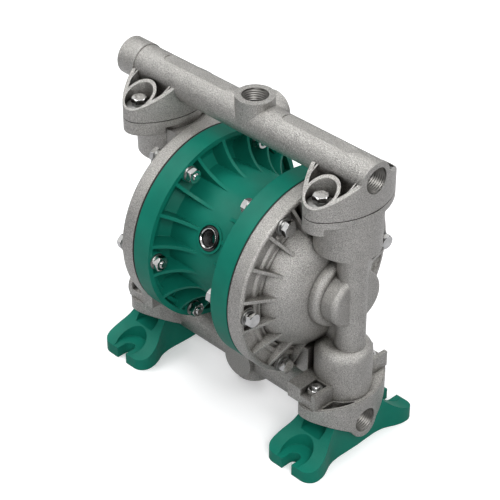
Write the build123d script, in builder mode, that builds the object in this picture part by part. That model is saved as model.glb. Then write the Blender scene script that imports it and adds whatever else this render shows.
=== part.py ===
from build123d import *
import os
from math import cos, hypot, radians, sin, tan

# Air operated diaphragm pump with half inch ports.
# X runs along the pump's shaft and its manifolds, Y runs front to back, Z is up.
# The origin lies on the floor, midway between the feet and under the shaft's middle.

os.makedirs("parts", exist_ok=True)

# Driving dimensions, in millimetres
axis_z = 128.5
shell_radius = 74.3
seam_x = 48.2
edge_thickness = 1.6
casing_face_x = 61.0
hub_radius = 50.0
rim_inner_x = 31.9
chest_x = 89.5
face_rise = 79.0
top_tube_z = axis_z + 102.8
bottom_tube_z = axis_z - 99.5
tube_radius = 13.7
port_radius = 9.6
passage_radius = 8.6
thread_depth = 13.0
port_thread_depth = 9.8
stroke = 7.0
valve_lift = 5.0
running_gap = 0.05
clear = 0.3
fit_gap = 0.1

# Bolts: six round each casing, four on each manifold, all M6
bolt_circle = 67.2
bolt_count = 6
bolt_radius = 3.0
bolt_hole_radius = 3.3
hex_across = 10.0
head_height = 4.0
nut_height = 5.0
washer_radius = 6.0
washer_thickness = 1.6
spring_thickness = 1.7
nut_seat_x = 31.5
bolt_end_x = 23.7
manifold_bolt_y = 28.0
wide_washer_radius = 9.0
nut_shelf = 6.5
bolt_overhang = 2.0

# Planes of the diaphragm's clamped edge
inner_land_x = seam_x - edge_thickness / 2
outer_land_x = seam_x + edge_thickness / 2

# Green centre body
rim_wall = 3.8
web_inner_x = 42.0
bowl_floor_x = 30.5
bowl_floor_radius = 33.0
bowl_mouth_radius = 57.0
rib_count = 18
rib_thickness = 2.6
rib_tip_x = 2.5
nut_boss_radius = 6.6
ridge_x = 36.5
ridge_half = 1.6
hub_corner_x = 36.5
rib_rim_gap = 2.9
chamber_hole_radius = 2.5
air_hole_radius = 2.0

# Shaft, its plates and what runs in the hub
shaft_radius = 8.0
shaft_bore = shaft_radius + 0.6
bush_radius = 10.5
bush_length = 12.0
plate_radius = 28.0
plate_inner_x = 38.0
plate_face_x = 42.0
rubber_thickness = 3.0
plate_outer_x = plate_face_x + rubber_thickness
inlet_angle = 28.0
inlet_radius = 9.5
inlet_wall = 1.8
inlet_step = 1.2
inlet_tail_radius = 8.0
inlet_tail_length = 8.3
inlet_bore = 5.9
inlet_rise = 2.2
valve_reach = 27.0
sleeve_radius = 12.0
spool_radius = 7.0
spool_travel = 4.0
spool_pitch = 14.0
spool_land = 5.0
spool_waist = 4.5
spool_ring_width = 2.4
spool_ring_depth = 1.4
cap_length = 6.5
cap_ring_depth = 1.2
air_hole_x = 17.0
air_hole_reach = 18.5
air_hole_turn = 38.6
seal_width = 3.0
end_screw_radius = 4.0
end_screw_depth = 18.0
end_screw_across = 13.0
end_screw_head = 5.3
outer_plate_thickness = 5.0
pilot_radius = 2.5
pilot_y = 14.0
pilot_z = -16.0
pilot_wall = 2.5
pilot_travel = 2.5
pilot_half_length = 33.2
exhaust_z = 16.0
exhaust_boss_radius = 13.0
exhaust_boss_height = 9.0
exhaust_thread_radius = 8.0
exhaust_bore = 3.5
silencer_across = 11.0
silencer_collar = 5.0
silencer_radius = 9.5
silencer_length = 14.0
silencer_bore = 5.0
silencer_groove = 8.6
silencer_pitch = 3.4

# Valve chests and what they hold
upper_chest_radius = 24.5
lower_chest_radius = 21.0
chest_low = 40.5
chest_taper = 0.9
upper_bore = 18.5
lower_bore = 16.0
ear_height = 10.0
lower_ear_height = 12.5
dome_end_x = 81.0
dome_end_radius = 29.5
dome_wall = 5.0
neck_x = 95.0
neck_radius = 11.0
duct_radius = 7.0
lug_sizes = ((79.0, 88.5, 28.8, 26.6), (86.0, 101.5, 24.0, 20.5))
lug_rounding = 4.2
casing_rib_thickness = 2.4
neck_half = 52.0
neck_web = 12.0
lower_chest_end = 40.0
seat_bore_step = 6.5
bolt_hole_depth = 13.0
bridge_x = 58.0
bridge_width = 36.0
bridge_length = 14.0
ball_radius = 9.0
seat_hole = 6.0
seat_height = 5.0
seat_cone = 3.0
seat_ring_size = 2.4
ball_on_seat = 3.8
cage_height = 23.0
cage_guide = ball_radius + 0.4
cage_bar = 3.0
ball_stop_gap = 0.4
lower_seat_z = axis_z - face_rise
upper_seat_z = axis_z + face_rise - cage_height - seat_height

# Manifold flange outline, seen from above
flange_half_width = 24.0
flange_end_radius = 12.0
joint_groove = 0.7
recess_depth = 5.0
recess_wall = 1.8
recess_land = 22.3
recess_start = 10.0
flange_half_length = manifold_bolt_y + flange_end_radius
pocket_radius = 10.3
pocket_wall = 2.4
pocket_floor = 7.8
roof_slope = 30.0
roof_rise = 16.5
port_boss_radius = 14.2
branch_radius = 13.3
collar_radius = 14.5
collar_length = 17.0
top_left_x = -128.1
top_right_x = 114.3
port_rise = 18.5
top_branch = 21.0
bottom_branch = 18.0
panel_spans = ((-90.0, -24.0), (28.0, 93.0))
panel_half_width = 5.2
panel_depth = 0.7

# Feet
foot_half_length = 56.2
foot_lobe_half = 23.0
foot_waist_half = 16.0
foot_edge_height = 9.0
slot_width = 9.5
slot_y = 48.5
scoop_floor = 21.0
scoop_radius = 10.0
foot_top = 33.0
foot_top_half = 23.0
foot_middle = (36.0, 18.5)
foot_corner = 9.0
slot_pocket_y = 46.0
slot_pocket_radius = 12.0
foot_screw_y = 11.3
foot_screw_radius = 2.0
foot_screw_head = 3.6
foot_screw_seat = 13.0
foot_screw_top = 30.0

shaft_line = Axis((0, 0, axis_z), (1, 0, 0))
side_plane = Plane(origin=(0, 0, axis_z), x_dir=(1, 0, 0), z_dir=(0, -1, 0))


def end_plane(x):
    """Plane across the shaft at x; its own axes are Y and the height above the shaft."""
    return Plane(origin=(x, 0, axis_z), x_dir=(0, 1, 0), z_dir=(1, 0, 0))


def radial_plane(angle):
    """Plane through the shaft, turned up from the front by the angle; its Y axis runs outwards."""
    turn = radians(angle)
    return Plane(
        origin=(0, 0, axis_z),
        x_dir=(1, 0, 0),
        z_dir=Vector(1, 0, 0).cross(Vector(0, -cos(turn), sin(turn))),
    )


def spoke_plane(angle):
    """Plane whose normal points outwards from the shaft at the angle up from the front."""
    turn = radians(angle)
    return Plane(origin=(0, 0, axis_z), x_dir=(1, 0, 0), z_dir=(0, -cos(turn), sin(turn)))


def air_hole_plane(x):
    """Plane on the valve's line whose normal points at the air hole of the chamber."""
    return Plane(
        origin=(x, valve_y, axis_z + valve_z), x_dir=(1, 0, 0), z_dir=(0, cos(air_turn), sin(air_turn)))


def level(z, x=0.0, y=0.0):
    """Level plane at a height, facing up."""
    return Plane(origin=(x, y, z), x_dir=(1, 0, 0), z_dir=(0, 0, 1))


def export(part, name):
    """Labels one piece and writes its file."""
    part.label = name
    export_step(part, f"parts/{name}.step")


def mirrored(part):
    """The left hand copy of a right hand piece."""
    return mirror(part, about=Plane.YZ, mode=Mode.PRIVATE)


rib_angles = [180.0 / rib_count + n * 360.0 / rib_count for n in range(rib_count)]
inlet_turn = radians(inlet_angle)
valve_y = -valve_reach * cos(inlet_turn)
valve_z = valve_reach * sin(inlet_turn)
air_turn = radians(air_hole_turn)
air_hole_y = valve_y + air_hole_reach * cos(air_turn)
air_hole_z = valve_z + air_hole_reach * sin(air_turn)
sleeve_half = bowl_floor_x - cap_length
spool_half = sleeve_half - spool_travel - 2 * clear
screw_places = [(side * chest_x, y) for side in (-1, 1) for y in (-foot_screw_y, foot_screw_y)]
bolt_places = [(chest_x, manifold_bolt_y), (chest_x, -manifold_bolt_y)]


def flange_outline(inset=0.0):
    """Outline of a manifold flange: two small round ends joined by two flat arcs."""
    end = flange_end_radius - inset
    half = flange_half_width - inset
    side = (half**2 + manifold_bolt_y**2 - end**2) / (2 * (half - end))
    reach = hypot(half - side, manifold_bolt_y)
    touch_x = (half - side) + side * (side - half) / reach
    touch_y = side * manifold_bolt_y / reach
    tip = manifold_bolt_y + end
    with BuildSketch() as outline:
        with BuildLine():
            ThreePointArc((touch_x, -touch_y), (half, 0), (touch_x, touch_y))
            ThreePointArc((touch_x, touch_y), (0, tip), (-touch_x, touch_y))
            ThreePointArc((-touch_x, touch_y), (-half, 0), (-touch_x, -touch_y))
            ThreePointArc((-touch_x, -touch_y), (0, -tip), (touch_x, -touch_y))
        make_face()
    return outline.sketch


flange_shape = flange_outline()
flange_base = flange_outline(joint_groove)
flange_inside = flange_outline(3.0)

# Green moulded centre body: two air chambers on a ribbed hub
with BuildPart() as centre_body:
    with BuildSketch(side_plane):
        with BuildLine():
            Polyline(
                (0, 0),
                (0, hub_radius),
                (hub_corner_x, hub_radius),
                (web_inner_x, bowl_mouth_radius),
                (web_inner_x, shell_radius - rim_wall),
                (rim_inner_x, shell_radius - rim_wall),
                (rim_inner_x, shell_radius),
                (inner_land_x, shell_radius),
                (inner_land_x, bowl_mouth_radius),
                (bowl_floor_x, bowl_floor_radius),
                (bowl_floor_x, 0),
                close=True,
            )
        make_face()
    revolve(axis=shaft_line)
    # Ribs with a hollow free edge, from the rim down to the hub
    with BuildSketch(*[radial_plane(angle) for angle in rib_angles]):
        with BuildLine():
            tip = (rib_tip_x, hub_radius - 0.6)
            root = (rim_inner_x, shell_radius - rib_rim_gap)
            TangentArc(tip, root, tangent=(1, 0))
            Polyline(
                root,
                (web_inner_x + 0.5, shell_radius - rib_rim_gap),
                (web_inner_x + 0.5, bowl_mouth_radius + 1),
                (hub_corner_x + 1, hub_radius),
                (hub_corner_x + 1, hub_radius - 1),
                (rib_tip_x, hub_radius - 1),
                tip,
            )
        make_face()
    extrude(amount=rib_thickness / 2, both=True)
    # Nut bosses and the ridge that links them
    with BuildSketch(end_plane(nut_seat_x)):
        with PolarLocations(bolt_circle, bolt_count):
            Circle(nut_boss_radius)
    extrude(amount=web_inner_x + 0.5 - nut_seat_x)
    with BuildSketch(end_plane(ridge_x)):
        Circle(bolt_circle + ridge_half)
        Circle(bolt_circle - ridge_half, mode=Mode.SUBTRACT)
    extrude(amount=web_inner_x + 0.5 - ridge_x)
    with BuildSketch(end_plane(nut_seat_x - 1)):
        with PolarLocations(bolt_circle, bolt_count):
            Circle(bolt_hole_radius)
    extrude(amount=inner_land_x - nut_seat_x + 2, mode=Mode.SUBTRACT)
    # Seat of the shaft bush and passage to the air valve, on each side
    with BuildSketch(end_plane(bowl_floor_x)):
        Circle(bush_radius)
    extrude(amount=-bush_length, mode=Mode.SUBTRACT)
    with BuildSketch(end_plane(bowl_floor_x)):
        with Locations((air_hole_y, air_hole_z)):
            Circle(chamber_hole_radius)
    extrude(amount=air_hole_x - 3 - bowl_floor_x, mode=Mode.SUBTRACT)
    with BuildSketch(air_hole_plane(air_hole_x)):
        Circle(air_hole_radius)
    extrude(amount=air_hole_reach, mode=Mode.SUBTRACT)
    mirror(about=Plane.YZ)
    # Shaft bore, valve bore and pilot bore run right through the hub
    with BuildSketch(end_plane(-bowl_floor_x)):
        Circle(shaft_bore)
        with Locations((valve_y, valve_z)):
            Circle(sleeve_radius)
        with Locations((pilot_y, pilot_z)):
            Circle(pilot_radius + pilot_wall)
    extrude(amount=2 * bowl_floor_x, mode=Mode.SUBTRACT)
    # Air inlet boss, its counterbore and the passage into the valve
    with BuildSketch(spoke_plane(inlet_angle).offset(hub_radius - 4)):
        Circle(inlet_radius + inlet_wall)
    extrude(amount=4.8)
    with BuildSketch(spoke_plane(inlet_angle).offset(hub_radius - inlet_step)):
        Circle(inlet_radius)
    extrude(amount=4, mode=Mode.SUBTRACT)
    with BuildSketch(spoke_plane(inlet_angle).offset(40.5)):
        Circle(inlet_tail_radius)
    extrude(amount=12, mode=Mode.SUBTRACT)
    with BuildSketch(spoke_plane(inlet_angle).offset(valve_reach)):
        Circle(4)
    extrude(amount=14, mode=Mode.SUBTRACT)
    # Exhaust boss at the back and its passage
    exhaust_plane = Plane(origin=(0, hub_radius - 8, axis_z + exhaust_z), x_dir=(1, 0, 0), z_dir=(0, 1, 0))
    with BuildSketch(exhaust_plane):
        Circle(exhaust_boss_radius)
    extrude(amount=exhaust_boss_height)
    with BuildSketch(exhaust_plane.offset(-3)):
        Circle(exhaust_thread_radius)
    extrude(amount=13, mode=Mode.SUBTRACT)
    with BuildSketch(exhaust_plane.offset(-3)):
        Circle(exhaust_bore)
    extrude(amount=-(hub_radius - 11 + abs(valve_y) - 8), mode=Mode.SUBTRACT)

# Black threaded bush of the air inlet
with BuildPart() as air_inlet_bush:
    with BuildSketch(spoke_plane(inlet_angle).offset(hub_radius - inlet_step)):
        Circle(inlet_radius)
    extrude(amount=inlet_step + inlet_rise)
    fillet(air_inlet_bush.edges().group_by(Axis((0, 0, 0), spoke_plane(inlet_angle).z_dir))[-1], 1.4)
    with BuildSketch(spoke_plane(inlet_angle).offset(hub_radius - inlet_step)):
        Circle(inlet_tail_radius)
    extrude(amount=-inlet_tail_length)
    with BuildSketch(spoke_plane(inlet_angle).offset(hub_radius + inlet_rise)):
        Circle(inlet_bore)
    extrude(amount=-12, mode=Mode.SUBTRACT)

# Silencer of the exhaust, screwed in at the back
with BuildPart() as exhaust_silencer:
    with BuildSketch(exhaust_plane.offset(exhaust_boss_height)):
        RegularPolygon(silencer_across, 6, major_radius=False)
    extrude(amount=silencer_collar)
    with BuildSketch(exhaust_plane.offset(exhaust_boss_height + silencer_collar)):
        Circle(silencer_radius)
    extrude(amount=silencer_length)
    fillet(exhaust_silencer.edges().group_by(Axis.Y)[-1], 3)
    with BuildSketch(exhaust_plane.offset(exhaust_boss_height)):
        Circle(exhaust_thread_radius)
    extrude(amount=-10)
    with BuildSketch(exhaust_plane.offset(-1.5)):
        Circle(silencer_bore)
    extrude(amount=24, mode=Mode.SUBTRACT)
    groove_start = exhaust_boss_height + silencer_collar + 3
    with BuildSketch(*[exhaust_plane.offset(groove_start + silencer_pitch * n) for n in range(3)]):
        Circle(silencer_radius + 0.5)
        Circle(silencer_groove, mode=Mode.SUBTRACT)
    extrude(amount=1.2, mode=Mode.SUBTRACT)

# Cast aluminium liquid casing, right hand
with BuildPart() as right_casing:
    with BuildSketch(side_plane):
        with BuildLine():
            Polyline(
                (outer_land_x, 0),
                (outer_land_x, shell_radius),
                (casing_face_x, shell_radius),
                (casing_face_x, 71),
                (58.4, 70),
                (58.4, 62.2),
                (60.2, 61),
                (60.2, 58.2),
                (58.9, 57.2),
                (58.9, 56.2),
                (60.4, 55.4),
                (60.4, 54.4),
                (59.4, 53.4),
            )
            ThreePointArc((59.4, 53.4), (73.5, 44.5), (dome_end_x, dome_end_radius))
            Polyline((dome_end_x, dome_end_radius), (dome_end_x, 0), (outer_land_x, 0))
        make_face()
    revolve(axis=shaft_line)
    fillet(right_casing.edges().filter_by(GeomType.CIRCLE).filter_by(
        lambda edge: abs(edge.radius - shell_radius) < 0.01 and edge.center().X > casing_face_x - 0.1), 2.2)
    # Ribs from the flange up the dome
    with BuildSketch(*[radial_plane(angle) for angle in rib_angles]):
        with BuildLine():
            Polyline((57.5, 71.2), (61, 71.2), (71.5, 43), (68, 42), (57.5, 50), (57.5, 71.2))
        make_face()
    extrude(amount=casing_rib_thickness / 2, both=True)
    # Raised seats under the bolts
    with BuildSketch(end_plane(57)):
        with PolarLocations(bolt_circle, bolt_count):
            Circle(washer_radius + 0.8)
    extrude(amount=casing_face_x - 57)
    # Rounded lugs over the duct from the dome to the neck
    for near_x, far_x, half_width, half_height in lug_sizes:
        with BuildSketch(end_plane(near_x)):
            Ellipse(half_width, half_height)
        lug = extrude(amount=far_x - near_x)
        fillet(lug.edges().group_by(Axis.X)[-1], lug_rounding)
    # Neck pipe between the two valve chests, with its web to the dome
    with BuildSketch(level(axis_z - neck_half, neck_x)):
        Circle(neck_radius)
        with Locations((-neck_web, 0)):
            Rectangle(2 * neck_web, neck_web)
    extrude(amount=2 * neck_half)
    # Upper and lower valve chests, with rounded inner ends
    with BuildSketch(side_plane):
        with BuildLine():
            Polyline(
                (chest_x, chest_low),
                (chest_x, face_rise),
                (chest_x + upper_chest_radius, face_rise),
                (chest_x + upper_chest_radius - chest_taper, chest_low + 1.5),
                (chest_x + upper_chest_radius - chest_taper - 2, chest_low),
                close=True,
            )
        make_face()
        with BuildLine():
            Polyline(
                (chest_x, -lower_chest_end),
                (chest_x, -face_rise),
                (chest_x + lower_chest_radius, -face_rise),
            )
            Line((chest_x + lower_chest_radius, -face_rise), (chest_x + lower_chest_radius, -48))
            TangentArc(
                (chest_x + lower_chest_radius, -48), (chest_x + 13, -lower_chest_end), tangent=(0, 1))
            Line((chest_x + 13, -lower_chest_end), (chest_x, -lower_chest_end))
        make_face()
    revolve(axis=Axis((chest_x, 0, 0), (0, 0, 1)))
    # Upper flange with its ears
    with BuildSketch(level(axis_z + face_rise - 5, chest_x)):
        add(flange_shape)
    extrude(amount=5)
    with BuildSketch(level(axis_z + face_rise - ear_height, chest_x)):
        add(flange_shape)
        Rectangle(60, 42, mode=Mode.SUBTRACT)
        with Locations((21, 0)):
            Rectangle(22, 100, mode=Mode.SUBTRACT)
    extrude(amount=ear_height)
    # Ears of the lower flange
    with BuildSketch(level(axis_z - face_rise, chest_x)):
        with Locations((-4.5, 0)):
            Rectangle(26, 2 * 38)
    extrude(amount=lower_ear_height)
    # Bridges from the flange to both chests
    with BuildSketch(end_plane(bridge_x)):
        with Locations((0, 60), (0, -60)):
            Rectangle(bridge_width, 22)
    extrude(amount=bridge_length)
    # Hollow inside: chamber, ducts and valve bores
    with BuildSketch(side_plane):
        with BuildLine():
            Polyline(
                (outer_land_x, 0),
                (outer_land_x, bowl_mouth_radius),
                (53, 55),
                (56.5, 49),
                (69, 40.5),
                (dome_end_x - dome_wall, 26),
                (dome_end_x - dome_wall, 0),
                close=True,
            )
        make_face()
    revolve(axis=shaft_line, mode=Mode.SUBTRACT)
    with BuildSketch(end_plane(75)):
        Circle(duct_radius)
    extrude(amount=neck_x - 75, mode=Mode.SUBTRACT)
    with BuildSketch(level(lower_seat_z + seat_height + cage_height - 1, neck_x)):
        Circle(duct_radius)
    extrude(amount=upper_seat_z - lower_seat_z - seat_height - cage_height + 1, mode=Mode.SUBTRACT)
    with BuildSketch(level(lower_seat_z, chest_x)):
        Circle(lower_bore)
    extrude(amount=seat_height + cage_height, mode=Mode.SUBTRACT)
    with BuildSketch(level(upper_seat_z, chest_x)):
        Circle(upper_bore)
    extrude(amount=seat_height + cage_height, mode=Mode.SUBTRACT)
    with BuildSketch(level(upper_seat_z, chest_x)):
        Circle(upper_bore - seat_bore_step)
    extrude(amount=-4.5, mode=Mode.SUBTRACT)
    # Bolt holes round the flange and in the ears
    with BuildSketch(end_plane(outer_land_x)):
        with PolarLocations(bolt_circle, bolt_count):
            Circle(bolt_hole_radius)
    extrude(amount=casing_face_x - outer_land_x, mode=Mode.SUBTRACT)
    with BuildSketch(level(axis_z - face_rise)):
        with Locations(*bolt_places):
            Circle(bolt_hole_radius)
    extrude(amount=bolt_hole_depth, mode=Mode.SUBTRACT)
    with BuildSketch(level(axis_z + face_rise)):
        with Locations(*bolt_places):
            Circle(bolt_hole_radius)
    extrude(amount=-bolt_hole_depth, mode=Mode.SUBTRACT)
    # Notches that hold the nuts, open to the front and the back
    with BuildSketch(level(axis_z - face_rise + nut_shelf)):
        with Locations((chest_x, manifold_bolt_y + 4), (chest_x, -manifold_bolt_y - 4)):
            Rectangle(hex_across + 2 * clear, 20)
    extrude(amount=8, mode=Mode.SUBTRACT)
    with BuildSketch(level(axis_z + face_rise - nut_shelf)):
        with Locations(*bolt_places):
            Rectangle(hex_across + 2 * clear, 1.155 * hex_across + 2 * clear)
    extrude(amount=-8, mode=Mode.SUBTRACT)


def manifold(tube_z, face_z, left_x, up, branch):
    """One manifold: tube, two flanges with sloping roofs, a port in the middle and a blank branch.

    up is 1 where the roofs and the port look up, and -1 where they look down. branch is how far
    the blank branch reaches along Y from the tube's middle.
    """
    slope = radians(roof_slope)
    far_y = flange_half_length + 2
    roof_z = face_z + up * (roof_rise - (far_y - manifold_bolt_y) * tan(slope))
    peak_z = face_z + up * (roof_rise + manifold_bolt_y * tan(slope))
    tube_plane = Plane(origin=(0, 0, tube_z), x_dir=(0, 1, 0), z_dir=(1, 0, 0))
    away = Plane(origin=(0, 0, tube_z), x_dir=(1, 0, 0), z_dir=(0, 0, up))
    side_arc = (flange_half_width**2 + manifold_bolt_y**2 - flange_end_radius**2) / (
        2 * (flange_half_width - flange_end_radius))
    with BuildPart() as body:
        # Flange blocks under sloping roofs
        for side in (-1, 1):
            foot_plane = Plane(origin=(side * chest_x, 0, face_z), x_dir=(1, 0, 0), z_dir=(0, 0, up))
            with BuildSketch(foot_plane):
                add(flange_base)
            extrude(amount=joint_groove)
            with BuildSketch(foot_plane.offset(joint_groove)):
                add(flange_shape)
            extrude(amount=42)
        with BuildSketch(Plane(origin=(-150, 0, 0), x_dir=(0, 1, 0), z_dir=(1, 0, 0))):
            with BuildLine():
                Polyline(
                    (-far_y, face_z),
                    (-far_y, roof_z),
                    (0, peak_z),
                    (far_y, roof_z),
                    (far_y, face_z),
                    close=True,
                )
            make_face()
        extrude(amount=300, mode=Mode.INTERSECT)
        for side in (-1, 1):
            above = Plane(
                origin=(side * chest_x, 0, face_z + up * pocket_floor), x_dir=(1, 0, 0), z_dir=(0, 0, up))
            # Hollows beside the bolt pockets, each with a thin rib
            with BuildSketch(above):
                add(flange_inside)
                Rectangle(80, 2 * (tube_radius - 2), mode=Mode.SUBTRACT)
                with Locations((0, manifold_bolt_y), (0, -manifold_bolt_y)):
                    Circle(pocket_radius + pocket_wall, mode=Mode.SUBTRACT)
                with Locations((17, 0), (-17, 0)):
                    Rectangle(1.2, 80, mode=Mode.SUBTRACT)
            extrude(amount=40, mode=Mode.SUBTRACT)
            with BuildSketch(above):
                with Locations((0, manifold_bolt_y), (0, -manifold_bolt_y)):
                    Circle(pocket_radius)
            extrude(amount=40, mode=Mode.SUBTRACT)
            with BuildSketch(above):
                with Locations((0, manifold_bolt_y), (0, -manifold_bolt_y)):
                    Circle(bolt_hole_radius)
            extrude(amount=-pocket_floor, mode=Mode.SUBTRACT)
            # Lightening recess in the flange's face, a crescent beside the chest
            with BuildSketch(Plane(origin=(side * chest_x, 0, face_z), x_dir=(1, 0, 0), z_dir=(0, 0, up))):
                add(flange_outline(recess_wall))
                Circle(recess_land, mode=Mode.SUBTRACT)
                with Locations((-side * 30, 0)):
                    Rectangle(80, 100, mode=Mode.SUBTRACT)
                with Locations((0, recess_start - 50)):
                    Rectangle(100, 100, mode=Mode.SUBTRACT)
            extrude(amount=recess_depth, mode=Mode.SUBTRACT)
        # Tube with its collar, port boss and blank branch
        with BuildSketch(tube_plane.offset(left_x)):
            Circle(tube_radius)
        extrude(amount=top_right_x - left_x)
        with BuildSketch(tube_plane.offset(top_left_x)):
            Circle(collar_radius)
        extrude(amount=collar_length)
        with BuildSketch(away):
            Circle(port_boss_radius)
        extrude(amount=port_rise)
        with BuildSketch(Plane(origin=(0, 0, tube_z), x_dir=(1, 0, 0), z_dir=(0, 1, 0))):
            Circle(branch_radius)
        extrude(amount=branch)
        # The tube's right end follows the flange's outer arc
        with BuildSketch(level(tube_z - 20, chest_x)):
            with Locations((20, 0)):
                Rectangle(40, 60)
            with Locations((flange_half_width - side_arc, 0)):
                Circle(side_arc, mode=Mode.SUBTRACT)
        extrude(amount=40, mode=Mode.SUBTRACT)
        # Sunk panels on the tube
        with BuildSketch(away.offset(tube_radius - panel_depth)):
            for low_x, high_x in panel_spans:
                with Locations(((low_x + high_x) / 2, 0)):
                    SlotOverall(high_x - low_x, 2 * panel_half_width)
        extrude(amount=5, mode=Mode.SUBTRACT)
        # Passages, and the wider threaded holes at their mouths
        with BuildSketch(tube_plane.offset(top_left_x)):
            Circle(passage_radius)
        extrude(amount=top_right_x - top_left_x, mode=Mode.SUBTRACT)
        with BuildSketch(tube_plane.offset(top_left_x), tube_plane.offset(top_right_x - thread_depth)):
            Circle(port_radius)
        extrude(amount=thread_depth, mode=Mode.SUBTRACT)
        with BuildSketch(away):
            Circle(passage_radius - 0.6)
        extrude(amount=port_rise, mode=Mode.SUBTRACT)
        with BuildSketch(away.offset(port_rise - port_thread_depth)):
            Circle(port_radius)
        extrude(amount=port_thread_depth, mode=Mode.SUBTRACT)
        for side in (-1, 1):
            with BuildSketch(Plane(origin=(side * chest_x, 0, face_z), x_dir=(1, 0, 0), z_dir=(0, 0, up))):
                Circle(passage_radius + 0.6)
            extrude(amount=abs(tube_z - face_z), mode=Mode.SUBTRACT)
        # Threaded holes below for the screws of the feet
        if up < 0:
            with BuildSketch(level(0)):
                with Locations(*screw_places):
                    Circle(foot_screw_radius + running_gap)
            extrude(amount=foot_screw_top + 1, mode=Mode.SUBTRACT)
    return body


top_manifold = manifold(top_tube_z, axis_z + face_rise, top_left_x, 1, top_branch)
bottom_manifold = manifold(bottom_tube_z, axis_z - face_rise, top_left_x, -1, -bottom_branch)

# Green foot, right hand
with BuildPart() as right_foot:
    with BuildSketch(Plane(origin=(chest_x - 30, 0, 0), x_dir=(0, 1, 0), z_dir=(1, 0, 0))):
        with BuildLine():
            Polyline(
                (-foot_half_length, foot_edge_height),
                (-foot_half_length, 0),
                (foot_half_length, 0),
                (foot_half_length, foot_edge_height),
            )
            ThreePointArc((foot_half_length, foot_edge_height), foot_middle, (foot_top_half, foot_top))
            Line((foot_top_half, foot_top), (-foot_top_half, foot_top))
            ThreePointArc(
                (-foot_top_half, foot_top),
                (-foot_middle[0], foot_middle[1]),
                (-foot_half_length, foot_edge_height))
        make_face()
    extrude(amount=60)
    with BuildSketch(level(0, chest_x)):
        with BuildLine():
            Line((0, -foot_half_length), (foot_lobe_half - foot_corner, -foot_half_length))
            TangentArc(
                (foot_lobe_half - foot_corner, -foot_half_length),
                (foot_lobe_half, -foot_half_length + foot_corner),
                tangent=(1, 0))
            Spline(
                (foot_lobe_half, -foot_half_length + foot_corner),
                (foot_lobe_half - 5.5, -30),
                (foot_waist_half, 0),
                tangents=((0, 1), (0, 1)))
            mirror(about=Plane.XZ)
            mirror(about=Plane.YZ)
        make_face()
    extrude(amount=40, mode=Mode.INTERSECT)
    # Saddle that the manifold lies in
    face_z = axis_z - face_rise
    slope = radians(roof_slope)
    peak_z = face_z - roof_rise - manifold_bolt_y * tan(slope)
    far_z = face_z - roof_rise + (60 - manifold_bolt_y) * tan(slope)
    with BuildSketch(Plane(origin=(chest_x - 40, 0, 0), x_dir=(0, 1, 0), z_dir=(1, 0, 0))):
        with BuildLine():
            Polyline((-60, far_z), (0, peak_z), (60, far_z), close=True)
        make_face()
        with Locations((0, bottom_tube_z)):
            Circle(tube_radius)
    extrude(amount=80, mode=Mode.SUBTRACT)
    # Counterbored holes for the screws that hold the foot
    with BuildSketch(level(0, chest_x)):
        with Locations((0, foot_screw_y), (0, -foot_screw_y)):
            Circle(foot_screw_head + clear)
    extrude(amount=foot_screw_seat, mode=Mode.SUBTRACT)
    with BuildSketch(level(0, chest_x)):
        with Locations((0, foot_screw_y), (0, -foot_screw_y)):
            Circle(foot_screw_radius + clear)
    extrude(amount=40, mode=Mode.SUBTRACT)
    # Slots with a round pocket, and the scoop under each manifold bolt
    for end in (-1, 1):
        with BuildSketch(level(0, chest_x)):
            with Locations((0, end * (slot_y + foot_half_length + 2) / 2)):
                Rectangle(slot_width, foot_half_length + 2 - slot_y)
            with Locations((0, end * slot_y)):
                Circle(slot_width / 2)
        extrude(amount=40, mode=Mode.SUBTRACT)
        with BuildSketch(level(foot_edge_height, chest_x)):
            with Locations((0, end * slot_pocket_y)):
                Circle(slot_pocket_radius)
            with Locations((0, end * (slot_pocket_y + 10))):
                Rectangle(20, 20)
        extrude(amount=30, mode=Mode.SUBTRACT)
        with BuildSketch(level(scoop_floor, chest_x)):
            with Locations((0, end * manifold_bolt_y)):
                Circle(scoop_radius)
        extrude(amount=30, mode=Mode.SUBTRACT)

# Rubber diaphragms, clamped between body and casing
with BuildPart() as right_diaphragm:
    with BuildSketch(side_plane):
        with BuildLine():
            Polyline(
                (inner_land_x, bowl_mouth_radius),
                (inner_land_x, shell_radius - clear),
                (outer_land_x, shell_radius - clear),
                (outer_land_x, bowl_mouth_radius),
            )
            Spline(
                (outer_land_x, bowl_mouth_radius),
                (plate_outer_x, plate_radius + 2),
                tangents=((0, -1), (0, -1)),
                tangent_scalars=(0.7, 0.7))
            Polyline(
                (plate_outer_x, plate_radius + 2),
                (plate_outer_x, end_screw_radius + fit_gap),
                (plate_face_x, end_screw_radius + fit_gap),
                (plate_face_x, plate_radius + 2),
            )
            Spline(
                (plate_face_x, plate_radius + 2),
                (inner_land_x, bowl_mouth_radius),
                tangents=((0, 1), (0, 1)),
                tangent_scalars=(0.7, 0.7))
        make_face()
    revolve(axis=shaft_line)
    with BuildSketch(end_plane(inner_land_x)):
        with PolarLocations(bolt_circle, bolt_count):
            Circle(bolt_hole_radius)
    extrude(amount=edge_thickness, mode=Mode.SUBTRACT)

# Shaft with a threaded hole in each end
with BuildPart() as shaft:
    with BuildSketch(end_plane(-plate_inner_x)):
        Circle(shaft_radius)
    extrude(amount=2 * plate_inner_x)
    for side in (-1, 1):
        with BuildSketch(end_plane(side * plate_inner_x)):
            Circle(end_screw_radius + running_gap)
        extrude(amount=-side * (end_screw_depth + 1), mode=Mode.SUBTRACT)

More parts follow.
